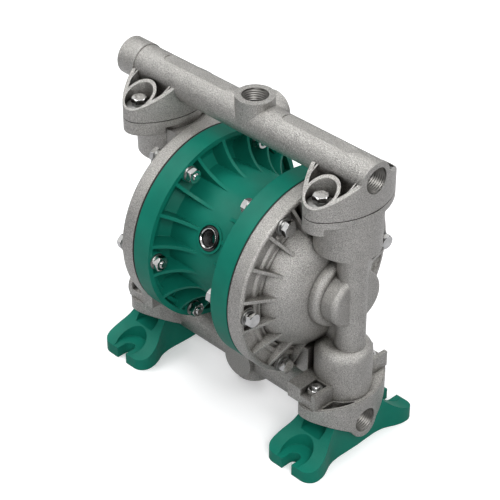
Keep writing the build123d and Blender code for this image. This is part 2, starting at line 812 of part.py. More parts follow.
# Plates that clamp the middle of each diaphragm, and the screws through them
with BuildPart() as inner_plates:
    for side in (-1, 1):
        with BuildSketch(end_plane(side * plate_inner_x)):
            Circle(plate_radius)
            Circle(end_screw_radius + fit_gap, mode=Mode.SUBTRACT)
        extrude(amount=side * (plate_face_x - plate_inner_x))
    rims = inner_plates.edges().filter_by(GeomType.CIRCLE).filter_by(
        lambda edge: edge.radius > plate_radius - 0.1 and abs(edge.center().X) < plate_inner_x + 0.1)
    fillet(rims, 1.5)

with BuildPart() as outer_plates:
    for side in (-1, 1):
        with BuildSketch(end_plane(side * plate_outer_x)):
            Circle(plate_radius - 1)
            Circle(end_screw_radius + fit_gap, mode=Mode.SUBTRACT)
        extrude(amount=side * outer_plate_thickness)
    rims = outer_plates.edges().filter_by(GeomType.CIRCLE).filter_by(
        lambda edge: edge.radius > plate_radius - 1.1 and abs(edge.center().X) > plate_outer_x + 0.1)
    chamfer(rims, 3)

with BuildPart() as shaft_end_screws:
    for side in (-1, 1):
        with BuildSketch(end_plane(side * (plate_outer_x + outer_plate_thickness))):
            RegularPolygon(end_screw_across / 2, 6, major_radius=False)
        extrude(amount=side * end_screw_head)
        with BuildSketch(end_plane(side * (plate_outer_x + outer_plate_thickness))):
            Circle(end_screw_radius)
        extrude(amount=-side * (plate_outer_x + outer_plate_thickness - plate_inner_x + end_screw_depth))


def tube_pair(centre, near_x, far_x, outer, inner):
    """Two short tubes along X, one on each side, between the two distances from the middle."""
    with BuildPart() as pair:
        for side in (-1, 1):
            with BuildSketch(end_plane(side * near_x)):
                with Locations(centre):
                    Circle(outer)
                    Circle(inner, mode=Mode.SUBTRACT)
            extrude(amount=side * (far_x - near_x))
    return pair


bush_inner_x = bowl_floor_x - bush_length
seal_inner_x = bowl_floor_x - seal_width
pilot_line = (pilot_y, pilot_z)
valve_line = (valve_y, valve_z)
shaft_bushes = tube_pair((0, 0), bush_inner_x, seal_inner_x, bush_radius, shaft_radius + running_gap)
shaft_seals = tube_pair((0, 0), seal_inner_x, bowl_floor_x, bush_radius, shaft_radius + running_gap)
pilot_bushes = tube_pair(
    pilot_line, bush_inner_x, bowl_floor_x, pilot_radius + pilot_wall, pilot_radius + running_gap)

# Pilot pin, pushed over by the inner plates
with BuildPart() as pilot_pin:
    with BuildSketch(end_plane(-pilot_half_length)):
        with Locations(pilot_line):
            Circle(pilot_radius)
    extrude(amount=2 * pilot_half_length)
    chamfer(pilot_pin.edges().filter_by(GeomType.CIRCLE), 0.5)

# Air valve: ported sleeve, spool with three rings, and a cap at each end
with BuildPart() as valve_sleeve:
    with BuildSketch(end_plane(-sleeve_half)):
        with Locations(valve_line):
            Circle(sleeve_radius)
            Circle(spool_radius + running_gap, mode=Mode.SUBTRACT)
    extrude(amount=2 * sleeve_half)
    with BuildSketch(Plane(
            origin=(0, valve_y, axis_z + valve_z), x_dir=(1, 0, 0), z_dir=spoke_plane(inlet_angle).z_dir)):
        Circle(4)
    extrude(amount=sleeve_radius + 1, mode=Mode.SUBTRACT)
    with BuildSketch(Plane(origin=(0, valve_y, axis_z + exhaust_z), x_dir=(1, 0, 0), z_dir=(0, 1, 0))):
        Circle(3.5)
    extrude(amount=sleeve_radius + 1, mode=Mode.SUBTRACT)
    for side in (-1, 1):
        with BuildSketch(air_hole_plane(side * air_hole_x)):
            Circle(2)
        extrude(amount=sleeve_radius + 1, mode=Mode.SUBTRACT)

ring_places = (-spool_pitch, 0.0, spool_pitch)
with BuildPart() as valve_spool:
    with BuildSketch(end_plane(-spool_half)):
        with Locations(valve_line):
            Circle(spool_waist)
    extrude(amount=2 * spool_half)
    for place in ring_places:
        with BuildSketch(end_plane(place - spool_land / 2)):
            with Locations(valve_line):
                Circle(spool_radius)
        extrude(amount=spool_land)
        with BuildSketch(end_plane(place - spool_ring_width / 2)):
            with Locations(valve_line):
                Circle(spool_radius + 1)
                Circle(spool_radius - spool_ring_depth, mode=Mode.SUBTRACT)
        extrude(amount=spool_ring_width, mode=Mode.SUBTRACT)

with BuildPart() as spool_rings:
    for place in ring_places:
        with BuildSketch(end_plane(place - spool_ring_width / 2)):
            with Locations(valve_line):
                Circle(spool_radius)
                Circle(spool_radius - spool_ring_depth, mode=Mode.SUBTRACT)
        extrude(amount=spool_ring_width)

with BuildPart() as valve_caps:
    for side in (-1, 1):
        with BuildSketch(end_plane(side * sleeve_half)):
            with Locations(valve_line):
                Circle(sleeve_radius)
        extrude(amount=side * cap_length)
        with BuildSketch(end_plane(side * (sleeve_half + cap_length / 3))):
            with Locations(valve_line):
                Circle(sleeve_radius + 1)
                Circle(sleeve_radius - cap_ring_depth, mode=Mode.SUBTRACT)
        extrude(amount=side * cap_length / 3, mode=Mode.SUBTRACT)

cap_rings = tube_pair(
    valve_line, sleeve_half + cap_length / 3, sleeve_half + 2 * cap_length / 3,
    sleeve_radius, sleeve_radius - cap_ring_depth)


def chest_line(side):
    """Upright line through the valve chests of one side."""
    return Axis((side * chest_x, 0, 0), (0, 0, 1))


def valve_seats(bore, seat_z):
    """Ball seats of both sides, with a cone at the top and a rebate for the ring below."""
    edge = bore - fit_gap
    with BuildPart() as seats:
        for side in (-1, 1):
            with BuildSketch(Plane(origin=(side * chest_x, 0, seat_z), x_dir=(1, 0, 0), z_dir=(0, -1, 0))):
                with BuildLine():
                    Polyline(
                        (seat_hole, 0),
                        (edge - seat_ring_size, 0),
                        (edge - seat_ring_size, seat_ring_size),
                        (edge, seat_ring_size),
                        (edge, seat_height),
                        (ball_radius, seat_height),
                        (seat_hole, seat_height - seat_cone),
                        close=True,
                    )
                make_face()
            revolve(axis=chest_line(side))
    return seats


def seat_rings(bore, seat_z):
    """Sealing rings in the rebates of the seats."""
    edge = bore - fit_gap
    with BuildPart() as rings:
        with BuildSketch(level(seat_z)):
            with Locations((-chest_x, 0), (chest_x, 0)):
                Circle(edge)
                Circle(edge - seat_ring_size, mode=Mode.SUBTRACT)
        extrude(amount=seat_ring_size)
    return rings


def ball_cages(bore, seat_z):
    """Cages that guide the balls and stop their lift: base ring, four guides, top ring with a cross."""
    edge = bore - fit_gap
    base_z = seat_z + seat_height
    stop = ball_on_seat + valve_lift + ball_radius + ball_stop_gap
    with BuildPart() as cages:
        with BuildSketch(level(base_z)):
            with Locations((-chest_x, 0), (chest_x, 0)):
                Circle(edge)
                Circle(ball_radius + 1, mode=Mode.SUBTRACT)
        extrude(amount=2)
        with BuildSketch(level(base_z)):
            with Locations((-chest_x, 0), (chest_x, 0)):
                with PolarLocations((cage_guide + edge) / 2, 4):
                    Rectangle(edge - cage_guide, cage_bar)
        extrude(amount=cage_height)
        with BuildSketch(level(base_z + stop)):
            with Locations((-chest_x, 0), (chest_x, 0)):
                Circle(edge)
                Circle(ball_radius + 2, mode=Mode.SUBTRACT)
                Rectangle(2 * edge - 2, cage_bar)
                Rectangle(cage_bar, 2 * edge - 2)
        extrude(amount=cage_height - stop)
    return cages


def ball(side, seat_z):
    """One valve ball at rest on its seat."""
    with BuildPart(level(seat_z + seat_height + ball_on_seat, side * chest_x)) as sphere:
        Sphere(ball_radius)
    return sphere


# Hardware of the casings: bolts from outside, nuts inside the green rims
flat_x = casing_face_x + washer_thickness
head_x = flat_x + spring_thickness


def casing_set(near_x, far_x, hole, across=0.0, radius=0.0):
    """Twelve like pieces round both casings, six-sided or round, each with its hole."""
    with BuildPart() as group:
        for side in (-1, 1):
            with BuildSketch(end_plane(side * near_x)):
                with PolarLocations(bolt_circle, bolt_count):
                    if across > 0:
                        RegularPolygon(across / 2, 6, major_radius=False)
                    else:
                        Circle(radius)
                    if hole > 0:
                        Circle(hole, mode=Mode.SUBTRACT)
            extrude(amount=side * (far_x - near_x))
    return group


nut_washer_x = nut_seat_x - washer_thickness
casing_flat_washers = casing_set(casing_face_x, flat_x, bolt_hole_radius, radius=washer_radius)
casing_spring_washers = casing_set(flat_x, head_x, bolt_hole_radius, radius=washer_radius - 0.8)
casing_nut_washers = casing_set(nut_seat_x, nut_washer_x, bolt_hole_radius, radius=washer_radius)
casing_nuts = casing_set(
    nut_washer_x, nut_washer_x - nut_height, bolt_radius + running_gap, across=hex_across)
with BuildPart() as casing_bolts:
    for side in (-1, 1):
        with BuildSketch(end_plane(side * head_x)):
            with PolarLocations(bolt_circle, bolt_count):
                RegularPolygon(hex_across / 2, 6, major_radius=False)
        extrude(amount=side * head_height)
        with BuildSketch(end_plane(side * head_x)):
            with PolarLocations(bolt_circle, bolt_count):
                Circle(bolt_radius)
        extrude(amount=side * (bolt_end_x - head_x))

# Hardware of the manifolds, above at the top and below at the bottom
corner_places = [(side * chest_x, y) for side in (-1, 1) for y in (-manifold_bolt_y, manifold_bolt_y)]


def flange_plane(rise, up):
    """Level plane at a distance above the top flange's face, or as far below the bottom one's."""
    return Plane(origin=(0, 0, axis_z + up * (face_rise + rise)), x_dir=(1, 0, 0), z_dir=(0, 0, up))


with BuildPart() as manifold_washers:
    for up in (-1, 1):
        with BuildSketch(flange_plane(pocket_floor, up)):
            with Locations(*corner_places):
                Circle(wide_washer_radius)
                Circle(bolt_hole_radius, mode=Mode.SUBTRACT)
        extrude(amount=washer_thickness)

with BuildPart() as manifold_spring_washers:
    for up in (-1, 1):
        with BuildSketch(flange_plane(pocket_floor + washer_thickness, up)):
            with Locations(*corner_places):
                Circle(washer_radius - 0.8)
                Circle(bolt_hole_radius, mode=Mode.SUBTRACT)
        extrude(amount=spring_thickness)

with BuildPart() as manifold_bolts:
    head_rise = pocket_floor + washer_thickness + spring_thickness
    for up in (-1, 1):
        seat = flange_plane(head_rise, up)
        with BuildSketch(seat):
            with Locations(*corner_places):
                RegularPolygon(hex_across / 2, 6, major_radius=False)
        extrude(amount=head_height)
        with BuildSketch(seat):
            with Locations(*corner_places):
                Circle(bolt_radius)
        extrude(amount=-(head_rise + nut_shelf + nut_height + bolt_overhang))

with BuildPart() as manifold_nuts:
    for up in (-1, 1):
        with BuildSketch(flange_plane(-nut_shelf, up)):
            with Locations(*corner_places):
                RegularPolygon(hex_across / 2, 6, major_radius=False, rotation=30)
                Circle(bolt_radius + running_gap, mode=Mode.SUBTRACT)
        extrude(amount=-nut_height)

# Screws that hold the feet to the bottom manifold
with BuildPart() as foot_screws:
    with BuildSketch(level(foot_screw_seat)):
        with Locations(*screw_places):
            Circle(foot_screw_head)
    extrude(amount=-foot_screw_radius * 2)
    with BuildSketch(level(foot_screw_seat - foot_screw_radius * 2)):
        with Locations(*screw_places):
            RegularPolygon(1.5, 6, major_radius=False)
    extrude(amount=2, mode=Mode.SUBTRACT)
    with BuildSketch(level(foot_screw_seat)):
        with Locations(*screw_places):
            Circle(foot_screw_radius)
    extrude(amount=foot_screw_top - foot_screw_seat)

pieces = {
    "centre_body": centre_body,
    "air_inlet_bush": air_inlet_bush,
    "exhaust_silencer": exhaust_silencer,
    "right_casing": right_casing,
    "top_manifold": top_manifold,
    "bottom_manifold": bottom_manifold,
    "right_foot": right_foot,
    "right_diaphragm": right_diaphragm,
    "shaft": shaft,
    "inner_plates": inner_plates,
    "outer_plates": outer_plates,
    "shaft_end_screws": shaft_end_screws,
    "shaft_bushes": shaft_bushes,
    "shaft_seals": shaft_seals,
    "pilot_bushes": pilot_bushes,
    "pilot_pin": pilot_pin,
    "valve_sleeve": valve_sleeve,
    "valve_spool": valve_spool,
    "spool_rings": spool_rings,
    "valve_caps": valve_caps,
    "valve_cap_rings": cap_rings,
    "lower_valve_seats": valve_seats(lower_bore, lower_seat_z),
    "upper_valve_seats": valve_seats(upper_bore, upper_seat_z),
    "lower_seat_rings": seat_rings(lower_bore, lower_seat_z),
    "upper_seat_rings": seat_rings(upper_bore, upper_seat_z),
    "lower_ball_cages": ball_cages(lower_bore, lower_seat_z),
    "upper_ball_cages": ball_cages(upper_bore, upper_seat_z),
    "left_lower_ball": ball(-1, lower_seat_z),
    "right_lower_ball": ball(1, lower_seat_z),
    "left_upper_ball": ball(-1, upper_seat_z),
    "right_upper_ball": ball(1, upper_seat_z),
    "casing_bolts": casing_bolts,
    "casing_flat_washers": casing_flat_washers,
    "casing_spring_washers": casing_spring_washers,
    "casing_nut_washers": casing_nut_washers,
    "casing_nuts": casing_nuts,
    "manifold_bolts": manifold_bolts,
    "manifold_washers": manifold_washers,
    "manifold_spring_washers": manifold_spring_washers,
    "manifold_nuts": manifold_nuts,
    "foot_screws": foot_screws,
}
for name, piece in pieces.items():
    export(piece.part, name)
for name in ("casing", "foot", "diaphragm"):
    export(mirrored(pieces[f"right_{name}"].part), f"left_{name}")
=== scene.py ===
import bpy
import bmesh
from math import cos, pi, radians, sin, tan
from mathutils import Matrix, Vector


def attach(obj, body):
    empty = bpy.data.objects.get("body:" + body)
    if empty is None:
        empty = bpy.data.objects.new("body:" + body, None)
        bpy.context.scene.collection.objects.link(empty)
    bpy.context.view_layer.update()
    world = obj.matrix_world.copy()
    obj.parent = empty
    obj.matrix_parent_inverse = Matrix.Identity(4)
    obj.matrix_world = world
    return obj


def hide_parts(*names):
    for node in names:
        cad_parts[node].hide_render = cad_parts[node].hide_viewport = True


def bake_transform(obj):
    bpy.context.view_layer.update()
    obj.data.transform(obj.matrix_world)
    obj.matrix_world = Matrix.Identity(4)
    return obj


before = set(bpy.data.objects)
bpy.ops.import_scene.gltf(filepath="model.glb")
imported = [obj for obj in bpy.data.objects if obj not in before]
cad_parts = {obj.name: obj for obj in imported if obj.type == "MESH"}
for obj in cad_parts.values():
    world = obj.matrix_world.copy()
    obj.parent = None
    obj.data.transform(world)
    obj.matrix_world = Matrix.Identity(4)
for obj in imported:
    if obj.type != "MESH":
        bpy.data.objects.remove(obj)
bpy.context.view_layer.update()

bl_info = {
    "name": "Air operated diaphragm pump",
    "version": (1, 0, 0),
    "blender": (4, 5, 0),
    "location": "3D View > Sidebar > Pump",
    "description": "Finishes the pump: castings, mouldings, fasteners, threads, diaphragms and stage",
    "category": "Object",
}

# Places that the pieces share, in metres: heights from the floor, places along X from the middle,
# rises from the shaft's axis, and the distance along Y between the two rows of manifold bolts
axis_height = 0.1285
seam_x = 0.0482
flange_face_x = 0.061
nut_land_x = 0.0315
chest_x = 0.0895
left_end_thread_x = -0.1216
right_end_thread_x = 0.1066
top_tube_z = axis_height + 0.1028
bottom_tube_z = axis_height - 0.0995
face_rise = 0.079
ear_underside_rise = face_rise - 0.0065
bolt_row_width = 0.056

# Fasteners' edges that turn by more than this many degrees stay sharp
fastener_edge = 28.0


# Small builders: nodes, meshes and finished pieces

def rgb(code):
    """Linear colour from an sRGB hex code."""
    parts = [int(code[n:n + 2], 16) / 255 for n in (1, 3, 5)]
    line = [v / 12.92 if v <= 0.04045 else ((v + 0.055) / 1.055) ** 2.4 for v in parts]
    return (*line, 1.0)


def fill(tree, node, values):
    """Fills the inputs of a node with values, or links them to sockets."""
    for key, value in values.items():
        if isinstance(value, bpy.types.NodeSocket):
            tree.links.new(value, node.inputs[key])
        else:
            node.inputs[key].default_value = value


def put(tree, kind, values=None, **settings):
    """Adds a node, sets its properties, and fills or links its inputs."""
    node = tree.nodes.new(kind)
    for key, value in settings.items():
        setattr(node, key, value)
    fill(tree, node, values or {})
    return node


def ramp(tree, factor, low, high, low_colour, high_colour):
    """Blends two colours between two values of a pattern."""
    node = put(tree, "ShaderNodeValToRGB", {"Fac": factor})
    node.color_ramp.elements[0].position = low
    node.color_ramp.elements[1].position = high
    node.color_ramp.elements[0].color = low_colour
    node.color_ramp.elements[1].color = high_colour
    return node.outputs["Color"]


def blended(tree, factor, first, second, blend="MIX"):
    """Mixes two colours; sockets 6 and 7 of the node are its colour inputs and output 2 its colour."""
    return put(tree, "ShaderNodeMix", {"Factor": factor, 6: first, 7: second}, data_type="RGBA",
               blend_type=blend).outputs[2]


def spread(tree, factor, low, high):
    """Maps a pattern from 0 and 1 to two values."""
    node = put(tree, "ShaderNodeMapRange", {"Value": factor, "To Min": low, "To Max": high})
    return node.outputs["Result"]


def grain(tree, place, size, detail=2.0, roughness=0.5):
    """Noise whose lumps measure about size metres."""
    node = put(tree, "ShaderNodeTexNoise", {"Vector": place, "Scale": 1 / size, "Detail": detail,
                                            "Roughness": roughness})
    return node.outputs["Fac"]


def new_material(name):
    """An empty material with its tree, its surface shader and the object's own coordinates."""
    material = bpy.data.materials.new(name)
    material.use_nodes = True
    tree = material.node_tree
    tree.nodes.clear()
    place = put(tree, "ShaderNodeTexCoord").outputs["Object"]
    surface = put(tree, "ShaderNodeBsdfPrincipled")
    put(tree, "ShaderNodeOutputMaterial", {"Surface": surface.outputs["BSDF"]})
    return material, tree, surface, place


def relief(tree, height, depth, strength=1.0, normal=None):
    """Bump of a depth in metres, on top of another normal where one is given."""
    values = {"Height": height, "Distance": depth, "Strength": strength}
    if normal is not None:
        values["Normal"] = normal
    return put(tree, "ShaderNodeBump", values).outputs["Normal"]


def soft_edge(tree, radius):
    """Rounds the look of every edge by a radius in metres."""
    return put(tree, "ShaderNodeBevel", {"Radius": radius}, samples=6).outputs["Normal"]


def clothe(name, material):
    """Gives a carried-over piece its finish in every slot."""
    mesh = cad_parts[name].data
    if not mesh.materials:
        mesh.materials.append(material)
    for n in range(len(mesh.materials)):
        mesh.materials[n] = material


def mesh_object(name, verts, faces, material=None, sharp=35.0):
    """An object from points and faces, with its normals outwards and its flat edges kept sharp."""
    mesh = bpy.data.meshes.new(name)
    mesh.from_pydata([tuple(v) for v in verts], [], faces)
    work = bmesh.new()
    work.from_mesh(mesh)
    bmesh.ops.remove_doubles(work, verts=work.verts, dist=1e-7)
    bmesh.ops.recalc_face_normals(work, faces=work.faces)
    work.to_mesh(mesh)
    work.free()
    mesh.shade_smooth()
    mesh.set_sharp_from_angle(angle=radians(sharp))
    if material is not None:
        mesh.materials.append(material)
    thing = bpy.data.objects.new(name, mesh)
    bpy.context.scene.collection.objects.link(thing)
    return thing


def rings_object(name, rings, material=None, sharp=35.0):
    """An object from rings of points with equal counts; rings of one repeated point close a pole."""
    count = len(rings[0])
    verts = [point for ring in rings for point in ring]
    faces = []
    for row in range(len(rings) - 1):
        for n in range(count):
            after = (n + 1) % count
            faces.append((row * count + n, row * count + after,
                          (row + 1) * count + after, (row + 1) * count + n))
    return mesh_object(name, verts, faces, material, sharp)


def turned_rings(profile, segments=64):
    """Rings round the Z axis from radius and height pairs."""
    return [[(r * cos(2 * pi * n / segments), r * sin(2 * pi * n / segments), z) for n in range(segments)]
            for r, z in profile]


def aimed(thing, place, forward):
    """Moves a piece made along Z so that its Z axis points forward from a place, in its mesh."""
    turn = Vector(forward).to_track_quat("Z", "Y").to_matrix().to_4x4()
    thing.data.transform(Matrix.Translation(place) @ turn)
    return thing


def joined(name, things):
    """Several meshes with one material as one object."""
    work = bmesh.new()
    for thing in things:
        work.from_mesh(thing.data)
    for face in work.faces:
        face.material_index = 0
    mesh = bpy.data.meshes.new(name)
    work.to_mesh(mesh)
    work.free()
    mesh.materials.append([material for material in things[0].data.materials if material][0])
    mesh.set_sharp_from_angle(angle=radians(35))
    for thing in things:
        bpy.data.objects.remove(thing)
    whole = bpy.data.objects.new(name, mesh)
    bpy.context.scene.collection.objects.link(whole)
    return whole


# Materials

def cast_aluminium(look):
    """Blasted aluminium casting."""
    material, tree, surface, place = new_material("Blasted cast aluminium")
    fine = grain(tree, place, look.cast_grain, 2.0, 0.6)
    broad = grain(tree, place, 0.012, 3.0)
    # The blasting leaves peaks and pits: the peaks carry painted glints in the colour beside darker pits,
    # over faint clouds from the mould
    glint_and_pit_grain = ramp(tree, fine, 0.4, 0.6, rgb("#4E4B47"), rgb("#EAE8E4"))
    cloud = ramp(tree, broad, 0.3, 0.7, rgb("#AFADA9"), rgb("#BDBBB7"))
    pits = relief(tree, fine, 0.0006, 1.0, soft_edge(tree, look.cast_edge))
    # Painted shade: inner corners are darkened in the colour by ambient occlusion
    corner = put(tree, "ShaderNodeAmbientOcclusion", {"Distance": look.cast_corner_shade}, samples=8).outputs["AO"]
    shading = ramp(tree, corner, 0.2, 0.8, rgb("#6A6762"), rgb("#FFFFFF"))
    skin = blended(tree, 1.0, blended(tree, 0.4, cloud, glint_and_pit_grain), shading, "MULTIPLY")
    fill(tree, surface, {
        "Base Color": skin, "Metallic": 1.0, "Roughness": spread(tree, fine, 0.42, 0.26),
        "Normal": relief(tree, broad, 0.0008, 0.25, pits)})
    return material


def moulded_green(look):
    """Green moulded polypropylene."""
    material, tree, surface, place = new_material("Moulded green polypropylene")
    flow = grain(tree, place, 0.03, 3.0)
    skin = grain(tree, place, 0.0006, 2.0)
    # Slight clouds from the melt's flow, and a fine eroded skin that softens the shine
    colour = ramp(tree, flow, 0.3, 0.7, (*look.green_low, 1.0), (*look.green_high, 1.0))
    fill(tree, surface, {
        "Base Color": colour, "Roughness": spread(tree, skin, 0.5, 0.38), "Specular IOR Level": 0.14,
        "Normal": relief(tree, skin, 0.00008, 0.35, soft_edge(tree, look.mould_edge))})
    return material


def bright_stainless(name, low=0.06, high=0.16, dark="#C2C2C1", light="#DCDCDB"):
    """Stainless steel between two roughnesses and two tones."""
    material, tree, surface, place = new_material(name)
    stretched = put(tree, "ShaderNodeMapping", {"Vector": place, "Scale": (1, 1, 0.12)}).outputs["Vector"]
    lines = grain(tree, stretched, 0.00035, 3.0)
    stain = grain(tree, place, 0.004, 2.0)
    # Drawing lines catch the light a little, with faint uneven tarnish
    colour = ramp(tree, stain, 0.3, 0.75, rgb(dark), rgb(light))
    fill(tree, surface, {
        "Base Color": colour, "Metallic": 1.0, "Roughness": spread(tree, stain, low, high),
        "Normal": relief(tree, lines, 0.00002, 0.25, soft_edge(tree, 0.0002))})
    return material


def rolled_stainless(name):
    """Stainless steel as it leaves the rolling mill, duller and darker than bolts and nuts."""
    return bright_stainless(name, 0.25, 0.4, "#8A8A88", "#A3A3A1")


def gloss_black(name):
    """Glossy black moulded nylon."""
    material, tree, surface, place = new_material(name)
    smear = grain(tree, place, 0.003, 3.0)
    # A deep shine with soft smears where hands and tools touched it
    fill(tree, surface, {
        "Base Color": ramp(tree, smear, 0.3, 0.8, rgb("#070707"), rgb("#141414")),
        "Roughness": spread(tree, smear, 0.06, 0.2), "Coat Weight": 0.4, "Coat Roughness": 0.05,
        "Normal": relief(tree, smear, 0.00003, 0.2)})
    return material


def porous_black():
    """Matt black sintered plastic of the silencer."""
    material, tree, surface, place = new_material("Sintered black plastic")
    beads = put(tree, "ShaderNodeTexVoronoi", {"Vector": place, "Scale": 1600.0}).outputs["Distance"]
    # Small fused beads with dark pores between them
    fill(tree, surface, {
        "Base Color": ramp(tree, beads, 0.1, 0.7, rgb("#2B2B2B"), rgb("#0C0C0C")), "Roughness": 0.85,
        "Normal": relief(tree, beads, 0.0003, 0.8)})
    return material


def black_rubber(name):
    """Pressed rubber of the diaphragms, seals and rings."""
    material, tree, surface, place = new_material(name)
    bloom = grain(tree, place, 0.009, 3.0)
    skin = grain(tree, place, 0.0005, 2.0)
    # A dull skin with a faint pale bloom
    fill(tree, surface, {
        "Base Color": ramp(tree, bloom, 0.35, 0.8, rgb("#131313"), rgb("#262524")),
        "Roughness": spread(tree, skin, 0.55, 0.75),
        "Normal": relief(tree, skin, 0.00012, 0.5)})
    return material


def machined(name, dark, light, metal, roughness):
    """Turned or ground stock with fine rings from the tool."""
    material, tree, surface, place = new_material(name)
    turned = put(tree, "ShaderNodeTexWave", {"Vector": place, "Scale": 900.0, "Distortion": 0.6,
                                             "Detail": 1.0}, bands_direction="X").outputs["Fac"]
    stain = grain(tree, place, 0.006, 2.0)
    # Fine tool rings across the length and a slightly uneven tone
    fill(tree, surface, {
        "Base Color": ramp(tree, stain, 0.3, 0.7, rgb(dark), rgb(light)), "Metallic": metal,
        "Roughness": spread(tree, stain, roughness, roughness + 0.12),
        "Normal": relief(tree, turned, 0.00003, 0.3)})
    return material


# Settings that a user would change

class PumpLook(bpy.types.PropertyGroup):
    """Finish of castings and mouldings."""
    cast_grain: bpy.props.FloatProperty(
        name="Casting grain", description="Size of the blasted grain", default=0.0006, subtype="DISTANCE")
    cast_edge: bpy.props.FloatProperty(
        name="Casting edge", description="Rounding of cast edges", default=0.0005, subtype="DISTANCE")
    # Reach of the painted shade in the castings' inner corners
    cast_corner_shade: bpy.props.FloatProperty(
        name="Casting corner shade", description="Width of the dark film in inner corners", default=0.007,
        subtype="DISTANCE")
    mould_edge: bpy.props.FloatProperty(
        name="Moulding edge", description="Rounding of moulded edges", default=0.0006, subtype="DISTANCE")
    green_low: bpy.props.FloatVectorProperty(
        name="Green, darker", description="Darker tone of the plastic", default=rgb("#0C6656")[:3],
        subtype="COLOR", min=0.0, max=1.0)
    green_high: bpy.props.FloatVectorProperty(
        name="Green, lighter", description="Lighter tone of the plastic", default=rgb("#107361")[:3],
        subtype="COLOR", min=0.0, max=1.0)


class PumpFasteners(bpy.types.PropertyGroup):
    """Sizes of the M6 hardware."""
    across: bpy.props.FloatProperty(
        name="Across flats", description="Width of heads and nuts", default=0.010, subtype="DISTANCE")
    head: bpy.props.FloatProperty(
        name="Head height", description="Height of a bolt head", default=0.004, subtype="DISTANCE")
    nut: bpy.props.FloatProperty(
        name="Nut height", description="Height of a nut", default=0.005, subtype="DISTANCE")
    shank: bpy.props.FloatProperty(
        name="Shank radius", description="Radius over the thread", default=0.003, subtype="DISTANCE")
    washer: bpy.props.FloatProperty(
        name="Washer radius", description="Outer radius of a flat washer", default=0.006, subtype="DISTANCE")
    washer_thickness: bpy.props.FloatProperty(
        name="Washer thickness", description="Thickness of a flat washer", default=0.0016, subtype="DISTANCE")
    spring: bpy.props.FloatProperty(
        name="Spring washer thickness", description="Thickness of a split washer", default=0.0017,
        subtype="DISTANCE")
    pocket_floor: bpy.props.FloatProperty(
        name="Pocket floor", description="Height of the manifold pockets' floors over the flange's face",
        default=0.0078, subtype="DISTANCE")
    circle: bpy.props.FloatProperty(
        name="Bolt circle", description="Radius of the bolt circle", default=0.0672, subtype="DISTANCE")
    count: bpy.props.IntProperty(name="Bolts per casing", description="Bolts round each casing", default=6)
    seed: bpy.props.IntProperty(
        name="Turn seed", description="Seed of how far each bolt is turned", default=4)
    wide_washer: bpy.props.FloatProperty(
        name="Wide washer radius", description="Outer radius of the manifold's wide washers", default=0.009,
        subtype="DISTANCE")
    casing_tip: bpy.props.FloatProperty(
        name="Casing bolt tip", description="How far a casing bolt stands out of its nut", default=0.0012,
        subtype="DISTANCE")
    manifold_tip: bpy.props.FloatProperty(
        name="Manifold bolt tip", description="How far a manifold bolt stands out of its nut", default=0.002,
        subtype="DISTANCE")


class PumpThreads(bpy.types.PropertyGroup):
    """Pipe threads in the ports and the air inlet."""
    port: bpy.props.FloatProperty(
        name="Port radius", description="Radius of a port's bore", default=0.0096, subtype="DISTANCE")
    port_pitch: bpy.props.FloatProperty(
        name="Port pitch", description="Pitch of the half inch pipe thread", default=0.001814,
        subtype="DISTANCE")
    inlet: bpy.props.FloatProperty(
        name="Inlet radius", description="Radius of the air inlet's bore", default=0.0059, subtype="DISTANCE")
    inlet_pitch: bpy.props.FloatProperty(
        name="Inlet pitch", description="Pitch of the quarter inch pipe thread", default=0.001337,
        subtype="DISTANCE")


class PumpStage(bpy.types.PropertyGroup):
    """Floor, light and camera."""
    floor: bpy.props.FloatVectorProperty(
        name="Floor", description="Colour of the floor", default=rgb("#F6F6F7")[:3], subtype="COLOR",
        min=0.0, max=1.0)
    key: bpy.props.FloatProperty(
        name="Key light", description="Power of the key light", default=24.0, subtype="POWER")
    sky: bpy.props.FloatProperty(name="Sky", description="Strength of the light all round", default=0.9)
    lens: bpy.props.FloatProperty(
        name="Lens", description="Focal length on a 36 mm sensor", default=124.4, subtype="DISTANCE_CAMERA")


# Geometry Nodes trees

def new_tree(name, inputs):
    """A geometry tree with named inputs and one geometry output."""
    tree = bpy.data.node_groups.new(name, "GeometryNodeTree")
    for title, kind, default in inputs:
        socket = tree.interface.new_socket(title, in_out="INPUT", socket_type=kind)
        if default is not None:
            socket.default_value = default
    tree.interface.new_socket("Geometry", in_out="OUTPUT", socket_type="NodeSocketGeometry")
    return tree, tree.nodes.new("NodeGroupInput")


def close_tree(tree, entry, geometry):
    """Ends a tree in real geometry with its material."""
    real = put(tree, "GeometryNodeRealizeInstances", {"Geometry": geometry})
    dressed = put(tree, "GeometryNodeSetMaterial", {
        "Geometry": real.outputs["Geometry"], "Material": entry.outputs["Material"]})
    put(tree, "NodeGroupOutput", {"Geometry": dressed.outputs["Geometry"]})


def quarter_turns(tree, base, entry):
    """The base rotation with a random turn about the fastener's own line."""
    chance = put(tree, "FunctionNodeRandomValue", {
        "Min": 0.0, "Max": 2 * pi, "Seed": entry.outputs["Seed"]}, data_type="FLOAT")
    angle = put(tree, "ShaderNodeMath", {0: chance.outputs["Value"], 1: entry.outputs["Turn"]},
                operation="MULTIPLY")
    about = put(tree, "FunctionNodeAxisAngleToRotation", {"Axis": (0, 0, 1), "Angle": angle.outputs[0]})
    start = put(tree, "FunctionNodeEulerToRotation", {"Euler": base})
    return put(tree, "FunctionNodeRotateRotation", {
        "Rotation": start.outputs[0], "Rotate By": about.outputs[0]}, rotation_space="LOCAL").outputs[0]


